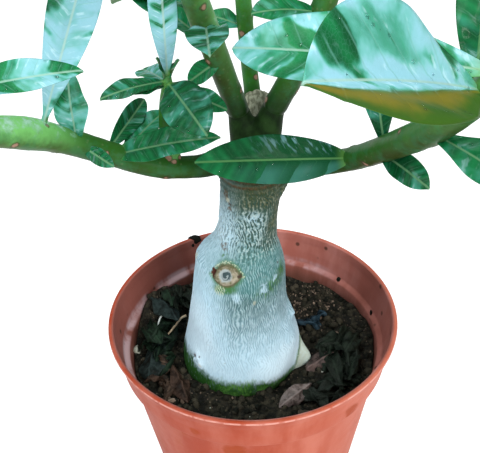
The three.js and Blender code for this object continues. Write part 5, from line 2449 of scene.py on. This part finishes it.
    def build(self) -> None:
        """Fuses, smooths, wrinkles and dresses the trunk."""
        piece = self.fused()
        mesh = piece.data
        points = mesh_points(mesh)
        crotch = ramp(*self.crotch_heights, points[:, 2])
        points = self.relaxed(mesh, points, self.smooth_rounds, np.full(len(points), 0.5))
        weight = 0.6 * crotch * (1 - self.stub_share(points))
        points = self.relaxed(mesh, points, self.crotch_rounds, weight)
        set_points(mesh, points)
        rise, values = self.skin_values(points)
        set_points(mesh, points + mesh_normals(mesh) * rise[:, None])
        write_values(mesh, values)
        mesh.shade_smooth()
        mesh.materials.append(TrunkSkin().material)
        place_piece(piece, ["trunk"])


@dataclass
class Branch:
    """A leafy stem: its bark with leaf scars, its leaves, and the water on them."""

    plan: BranchPlan
    leaf: Finish
    bark: Finish
    water: Finish
    drops: GrowTree
    sides: int = 30
    grain: float = 0.8
    sink: float = 5.0
    opening: float = 0.86
    scar_width: float = 1.5
    scar_rise: float = 0.5
    scarred: float = 0.78
    bark_rise: float = 0.12
    bark_lump: float = 3.2
    seat_rings: int = 16
    placed: LeafForm = LeafForm()
    young: LeafForm = LeafForm(grain=1.3, across=6)
    burnt_blade: int = 3
    cap_angles: Row = (25, 50, 70, 84)
    drop_density: float = 500.0
    drop_size: float = 0.75

    def stem(self) -> Skin:
        """The stem's skin, sunk a little into what carries it and rounded off at its end.

        Returns:
            The skin.
        """
        rows = self.plan.rows
        first = np.array(rows[0], float)
        way = set_off(rows)
        spread = np.diff([row[:3] for row in rows], axis=0)
        steps = int(np.linalg.norm(spread, axis=1).sum() / self.grain)
        rings = stem_rings(rows, steps, self.sides)
        opening = first[:3] - way * self.sink + (rings[0] - first[:3]) * self.opening
        last = rings[-1].mean(0)
        ahead = unit(last - rings[-2].mean(0))
        reach = np.linalg.norm(rings[-1] - last, axis=1).mean()
        caps = [
            last + (rings[-1] - last) * math.cos(a) + ahead * reach * math.sin(a)
            for a in np.radians(self.cap_angles)
        ]
        skin = loft(np.concatenate([[opening], rings, caps]))
        return self.barked(skin, rings)

    def barked(self, skin: Skin, rings: Array) -> Skin:
        """Raises wrinkles and leaf scars on a stem's skin and stores what its finish reads.

        Args:
            skin: The skin.
            rings: The rings that it was made from.

        Returns:
            The same skin, changed.
        """
        centres = rings.mean(1)
        draw = seeded(self.plan.seed)
        nearest = np.linalg.norm(skin.points[:, None, :] - centres[None, :, :], axis=2).argmin(1)
        ways = np.gradient(centres, axis=0)
        ways = (ways / np.linalg.norm(ways, axis=1)[:, None])[nearest]
        outward = skin.points - centres[nearest]
        outward = outward - (outward * ways).sum(1)[:, None] * ways
        outward = outward / np.maximum(np.linalg.norm(outward, axis=1), 0.01)[:, None]
        rise = self.bark_rise * fractal(skin.points / self.bark_lump, 61, 3)
        scar = np.zeros(len(skin.points))
        share = nearest / max(len(centres) - 1, 1)
        for i in range(self.plan.scars):
            along_stem = (i + 0.3 + 0.5 * next(draw)) / self.plan.scars * self.scarred
            ring = int(along_stem * (len(rings) - 1))
            side = int((i * GOLDEN_ANGLE / 360 + 0.06 * next(draw)) % 1 * self.sides)
            spot = rings[ring, side]
            width = self.scar_width * (0.75 + 0.5 * next(draw))
            distance = np.linalg.norm(skin.points - spot, axis=1)
            rise += self.scar_rise * hill(distance, width * 1.25) - 0.45 * hill(distance, width * 0.45)
            scar = np.maximum(scar, hill(distance, width))
        skin.points = skin.points + outward * rise[:, None]
        skin.values = {
            "scar": scar,
            # "top" is how much the bark faces up, for its green top and painted light; "foot" marks the
            # stem's foot for its painted shade.
            "top": np.clip(outward[:, 2] * 0.5 + 0.55, 0, 1),
            "fresh": ramp(*self.plan.fresh, share),
            "foot": 1 - ramp(0.02, 0.2, share),
        }
        return skin

    def seat(self) -> Skin:
        """The knuckle on the left stem that carries its side shoot."""
        rings = stem_rings(SHOOT_SEAT, self.seat_rings, self.sides, STEM_LEFT_SHOOT)
        return self.barked(loft(rings), rings)

    def placed_leaves(self) -> list[Skin]:
        """The leaves placed one by one.

        Returns:
            A skin for each.
        """
        skins = []
        for i, blade in enumerate(self.plan.blades):
            foot = along(self.plan.rows, blade.at)[:3] if blade.foot is None else np.array(blade.foot, float)
            tip = np.array(blade.tip, float)
            skin = leaf_skin(blade, foot, tip, np.array(blade.face, float), i, self.placed)
            burnt = self.plan.node == "branch_left_shoot" and i == self.burnt_blade
            values = {"burnt": float(burnt), "pale": blade.pale, "browned": blade.browned}
            skins.append(skin.filled_out(values))
        return skins

    def young_leaves(self) -> list[Skin]:
        """The rosette at the stem's end.

        Returns:
            A skin for each leaf.
        """
        rows = self.plan.rows
        rule = self.plan.rosette
        draw = seeded(rule.seed)
        last = len(rows) - 1
        axis = unit(np.array(rows[last][:3], float) - np.array(rows[last - 1][:3], float))
        across = unit(np.array([1.0, 0, 0]) - axis * axis[0])
        up = np.cross(axis, across)
        skins = []
        for i in range(rule.count):
            age = (i + 1) / rule.count
            turn = math.radians(rule.start + GOLDEN_ANGLE * i + TURN_PLAY * (next(draw) - 0.5))
            open_by = math.radians(rule.lean * (0.25 + 0.75 * age) + LEAN_PLAY * (next(draw) - 0.5))
            reach = rule.length * (0.55 + 0.45 * age) * (0.92 + 0.16 * next(draw))
            outward = across * math.cos(turn) + up * math.sin(turn)
            foot = along(rows, last - 0.15 - 0.85 * age)[:3]
            tip = foot + axis * reach * math.cos(open_by) + outward * reach * math.sin(open_by)
            width = rule.width * (0.6 + 0.4 * age) * (0.9 + 0.2 * next(draw))
            blade = Blade(0, tuple(tip), tuple(axis), width, YOUNG_ARCH, YOUNG_FOLD, YOUNG_WAVE)
            skin = leaf_skin(blade, foot, tip, axis, i, self.young)
            skins.append(skin.filled_out({"burnt": 0.0, "pale": 0.2, "browned": 0.0}))
        return skins

    def build(self) -> None:
        """Builds the stem, its leaves and their drops."""
        node = self.plan.node
        skins = [self.stem()]
        if node == "branch_left":
            skins.append(self.seat())
        add_piece(f"{node}_stem", join_skins(skins), self.bark, [node])
        grown = join_skins(self.placed_leaves() + self.young_leaves())
        leaves = add_piece(f"{node}_leaves", grown, self.leaf, [node])
        drops = new_object(f"{node}_drops", leaves.data.copy())
        values = {
            DENSITY: self.plan.droplets * self.drop_density,
            "Largest size": self.drop_size * MM,
            "Seed": self.plan.seed,
            "Material": self.water.material,
        }
        self.drops.run(drops, values)
        drops.data.shade_smooth()
        place_piece(drops)


@dataclass(frozen=True)
class Heap:
    """Withered leaf scraps heaped round a spot: how many, how far they spread, how high, and their tones."""

    name: str
    count: int
    middle: Row
    spread: Row
    height: float
    length: Row
    dark: Row
    light: Row
    seed: int


@dataclass
class Litter:
    """What lies on the mix: six fallen leaves, heaps of withered scraps, a thin root and a loop of fibre."""

    clearance: float = 0.35
    trunk_gap: float = 2.5
    wall_gap: float = 1.5
    leaf_rest: float = 96.0
    scrap_rest: float = 80.0
    strand_rings: int = 40
    strand_sides: int = 10
    form: LeafForm = LeafForm(grain=0.55, across=10, midrib=1.1, edge=0.5, crumple=1.3)
    scrap_form: LeafForm = LeafForm(grain=1.1, across=5, midrib=0.9, edge=0.4, crumple=1.1)
    tones: Sequence[tuple[Row, Row]] = (
        ((0.004, 0.007, 0.006), (0.022, 0.034, 0.032)),
        ((0.004, 0.007, 0.006), (0.02, 0.032, 0.03)),
        ((0.011, 0.007, 0.005), (0.06, 0.036, 0.026)),
        ((0.06, 0.045, 0.04), (0.22, 0.18, 0.165)),
        ((0.02, 0.015, 0.014), (0.13, 0.09, 0.08)),
        ((0.004, 0.006, 0.004), (0.02, 0.026, 0.02)),
    )
    heaps: Sequence[Heap] = (
        Heap("left_heap", 15, (-48, 4), (11, 20), 4.0, (12, 22),
             (0.002, 0.004, 0.003), (0.011, 0.024, 0.013), 4),
        Heap("back_heap", 9, (-42, 32), (12, 9), 4.0, (11, 18),
             (0.003, 0.005, 0.003), (0.016, 0.022, 0.015), 6),
        Heap("brown_heap", 7, (-40, -18), (9, 14), 2.5, (9, 17),
             (0.012, 0.008, 0.005), (0.07, 0.045, 0.032), 9),
        Heap("right_heap", 13, (46, -14), (10, 15), 4.0, (12, 22),
             (0.003, 0.005, 0.003), (0.015, 0.022, 0.015), 13),
        Heap("front_heap", 7, (28, -38), (15, 7), 3.0, (10, 18),
             (0.004, 0.006, 0.004), (0.02, 0.026, 0.02), 19),
        Heap("wet_scraps", 4, (31, 15), (6, 5), 1.5, (9, 14),
             (0.005, 0.009, 0.012), (0.024, 0.05, 0.07), 23),
    )
    strands: Sequence[tuple[str, Rows, Rows]] = (
        (
            "thin_root",
            ((-34.5, 14.5, 105.5, 0.75), (-37, 12.5, 105.5, 0.6), (-40, 8, 104.4, 0.55), (-44, 2, 103, 0.4)),
            ((0.25, 0.17, 0.1), (0.46, 0.36, 0.25)),
        ),
        (
            "pale_fibre",
            (
                (-44, 16, 106.5, 0.5), (-45.6, 12.5, 109, 0.5), (-47.2, 9, 109.2, 0.45),
                (-48.2, 6, 106.6, 0.4), (-47, 4.2, 104.4, 0.35),
            ),
            ((0.3, 0.32, 0.3), (0.55, 0.58, 0.56)),
        ),
    )

    def build(self) -> None:
        """Lays each piece on the mix."""
        for i, blade in enumerate(DRY_LEAVES):
            self.fallen_leaf(i, blade)
        for heap in self.heaps:
            self.pile(heap)
        for name, rows, tones in self.strands:
            skin = loft(stem_rings(rows, self.strand_rings, self.strand_sides))
            skin.filled_out({"blade_place": (9.0, 0.0, 0.0), "blade_share": (0.9, 0.5, 0.0)})
            add_piece(name, skin, DeadLeaf(name, *tones))

    def pile(self, heap: Heap) -> None:
        """Piles curled scraps round a spot, clear of the trunk and the wall.

        Args:
            heap: The heap.
        """
        draw = seeded(heap.seed)
        skins: list[Skin] = []
        while len(skins) < heap.count:
            spin, reach, heading, lean, tip_up, high = (next(draw) for _ in range(6))
            way = np.array([math.cos(TAU * spin), math.sin(TAU * spin)])
            centre = np.array([*(heap.middle + np.array(heap.spread) * way * math.sqrt(reach)), 0.0])
            least, most = heap.length
            length = least + (most - least) * next(draw)
            turn = TAU * heading
            half = np.array([math.cos(turn), math.sin(turn), 0.5 * (tip_up - 0.5)]) * length / 2
            face = (1.2 * (lean - 0.5), 1.2 * (next(draw) - 0.5), 1)
            curl = 40 + 70 * next(draw)
            wide = length * (0.32 + 0.22 * next(draw))
            blade = Blade(0, (0, 0, 0), face, wide, curl, 60 * (next(draw) - 0.5), 1.8, turns=1.8)
            ends = (centre - half, centre + half)
            skin = leaf_skin(blade, *ends, np.array(face), len(skins), self.scrap_form)
            lift = soil_height(skin.points[:, 0], skin.points[:, 1]) - skin.points[:, 2]
            skin.points[:, 2] += np.percentile(lift, self.scrap_rest) + heap.height * high
            if self.fits(skin.points):
                skins.append(skin)
        add_piece(f"leaf_scraps_{heap.name}", join_skins(skins), DeadLeaf(heap.name, heap.dark, heap.light))

    def fits(self, points: Array) -> bool:
        """Whether a scrap stays between the trunk and the wall.

        Args:
            points: The scrap's points.

        Returns:
            Whether it does.
        """
        _, radius, off = trunk_polar(points)
        outward = np.hypot(points[:, 0], points[:, 1])
        wall = pot_inside(SOIL_LEVEL) - self.wall_gap
        return bool(np.all(off > radius + self.trunk_gap) and np.all(outward < wall))

    def fallen_leaf(self, i: int, blade: Blade) -> None:
        """One dead leaf, lifted onto the highest soil under it.

        Args:
            i: Its number, counted from 0.
            blade: Its form.
        """
        foot, tip = (np.array([*spot, SOIL_LEVEL + 1], float) for spot in (blade.foot, blade.tip))
        skin = leaf_skin(blade, foot, tip, np.array(blade.face, float), i, self.form)
        lift = soil_height(skin.points[:, 0], skin.points[:, 1]) + self.clearance - skin.points[:, 2]
        skin.points[:, 2] += np.percentile(lift, self.leaf_rest)
        node = f"dry_leaf_{i + 1}"
        add_piece(f"fallen_{node}", skin, DeadLeaf(f"dead_leaf_{i + 1}", *self.tones[i]), [node])


@dataclass
class Studio:
    """Pale floor, soft lights and the camera at the photograph's viewing angle."""

    camera_place: Row = (0, -251.05, 344.68)
    camera_right: Row = (0.99944, -0.00594, -0.03297)
    camera_up: Row = (0.03049, 0.56893, 0.82182)
    focal_pixels: float = 680.0
    frame_width: float = 480.0
    sensor: float = 36.0
    clip_start: float = 0.01
    floor_half: float = 4000.0
    sky_colour: Row = (0.92, 0.97, 1.0, 1.0)
    sky_strength: float = 0.32
    lamps: Sequence[tuple[str, Row, Row, float, float, Row]] = (
        ("sky_overhead", (-100, 60, 1900), (0, 0, 200), 1.7, 20, (0.88, 0.96, 1.0)),
        ("soft_key", (900, -1400, 1200), (0, 0, 130), 0.9, 31, (1.0, 0.99, 0.97)),
        ("soft_fill", (-1000, -700, 1400), (0, 0, 150), 1.2, 20, (0.95, 0.98, 1.0)),
    )

    def build(self) -> None:
        """Sets up the floor, the lights and the camera."""
        half = self.floor_half
        corners = np.array([(-half, -half, 0), (half, -half, 0), (half, half, 0), (-half, half, 0)], float)
        floor = make_object("floor", Skin(corners, [[0, 1, 2, 3]]), PaleFloor().material)
        self.camera()
        for row in self.lamps:
            self.lamp(*row)
        world = bpy.data.worlds.new("pale_sky")
        world.use_nodes = True
        sky = world.node_tree.nodes["Background"]
        sky.inputs["Color"].default_value = self.sky_colour
        sky.inputs["Strength"].default_value = self.sky_strength
        bpy.context.scene.world = world
        bpy.context.scene.view_settings.view_transform = "Standard"

    def camera(self) -> None:
        """The camera, from its place and the directions of the frame's right and upper edges."""
        right = Vector(self.camera_right).normalized()
        up = Vector(self.camera_up)
        back = right.cross(up).normalized()
        up = back.cross(right)
        data = bpy.data.cameras.new("camera")
        data.sensor_width = self.sensor
        data.lens = self.sensor * self.focal_pixels / self.frame_width
        data.clip_start = self.clip_start
        camera = new_object("camera", data)
        turned = Matrix((right, up, back)).transposed().to_4x4()
        camera.matrix_world = Matrix.Translation(Vector(self.camera_place) * MM) @ turned
        bpy.context.scene.camera = camera

    def lamp(self, name: str, place: Row, aim: Row, size: float, power: float, colour: Row) -> None:
        """A square soft light.

        Args:
            name: Its name.
            place: Where it is, in millimetres.
            aim: The point that it is turned to, in millimetres.
            size: Its side, in metres.
            power: Its power, in watts.
            colour: Its colour.
        """
        data = bpy.data.lights.new(name, "AREA")
        data.size = size
        data.energy = power
        data.color = colour
        lamp = new_object(name, data)
        lamp.location = Vector(place) * MM
        way = Vector(aim) * MM - lamp.location
        lamp.rotation_mode = "QUATERNION"
        lamp.rotation_quaternion = way.to_track_quat("-Z", "Y")


def main() -> None:
    """Builds the studio and then each sub-assembly in order."""
    logging.basicConfig(level=logging.INFO, format="%(message)s")
    Studio().build()
    Pot().build()
    Soil().build()
    Trunk().build()
    leaf = LeafGreen()
    water = Water()
    barks = {tone: StemBark(tone) for tone in BarkTone}
    drops = droplet_tree()
    for plan in BRANCHES:
        Branch(plan, leaf, barks[plan.tone], water, drops).build()
    Litter().build()


if __name__ == "__main__":
    main()
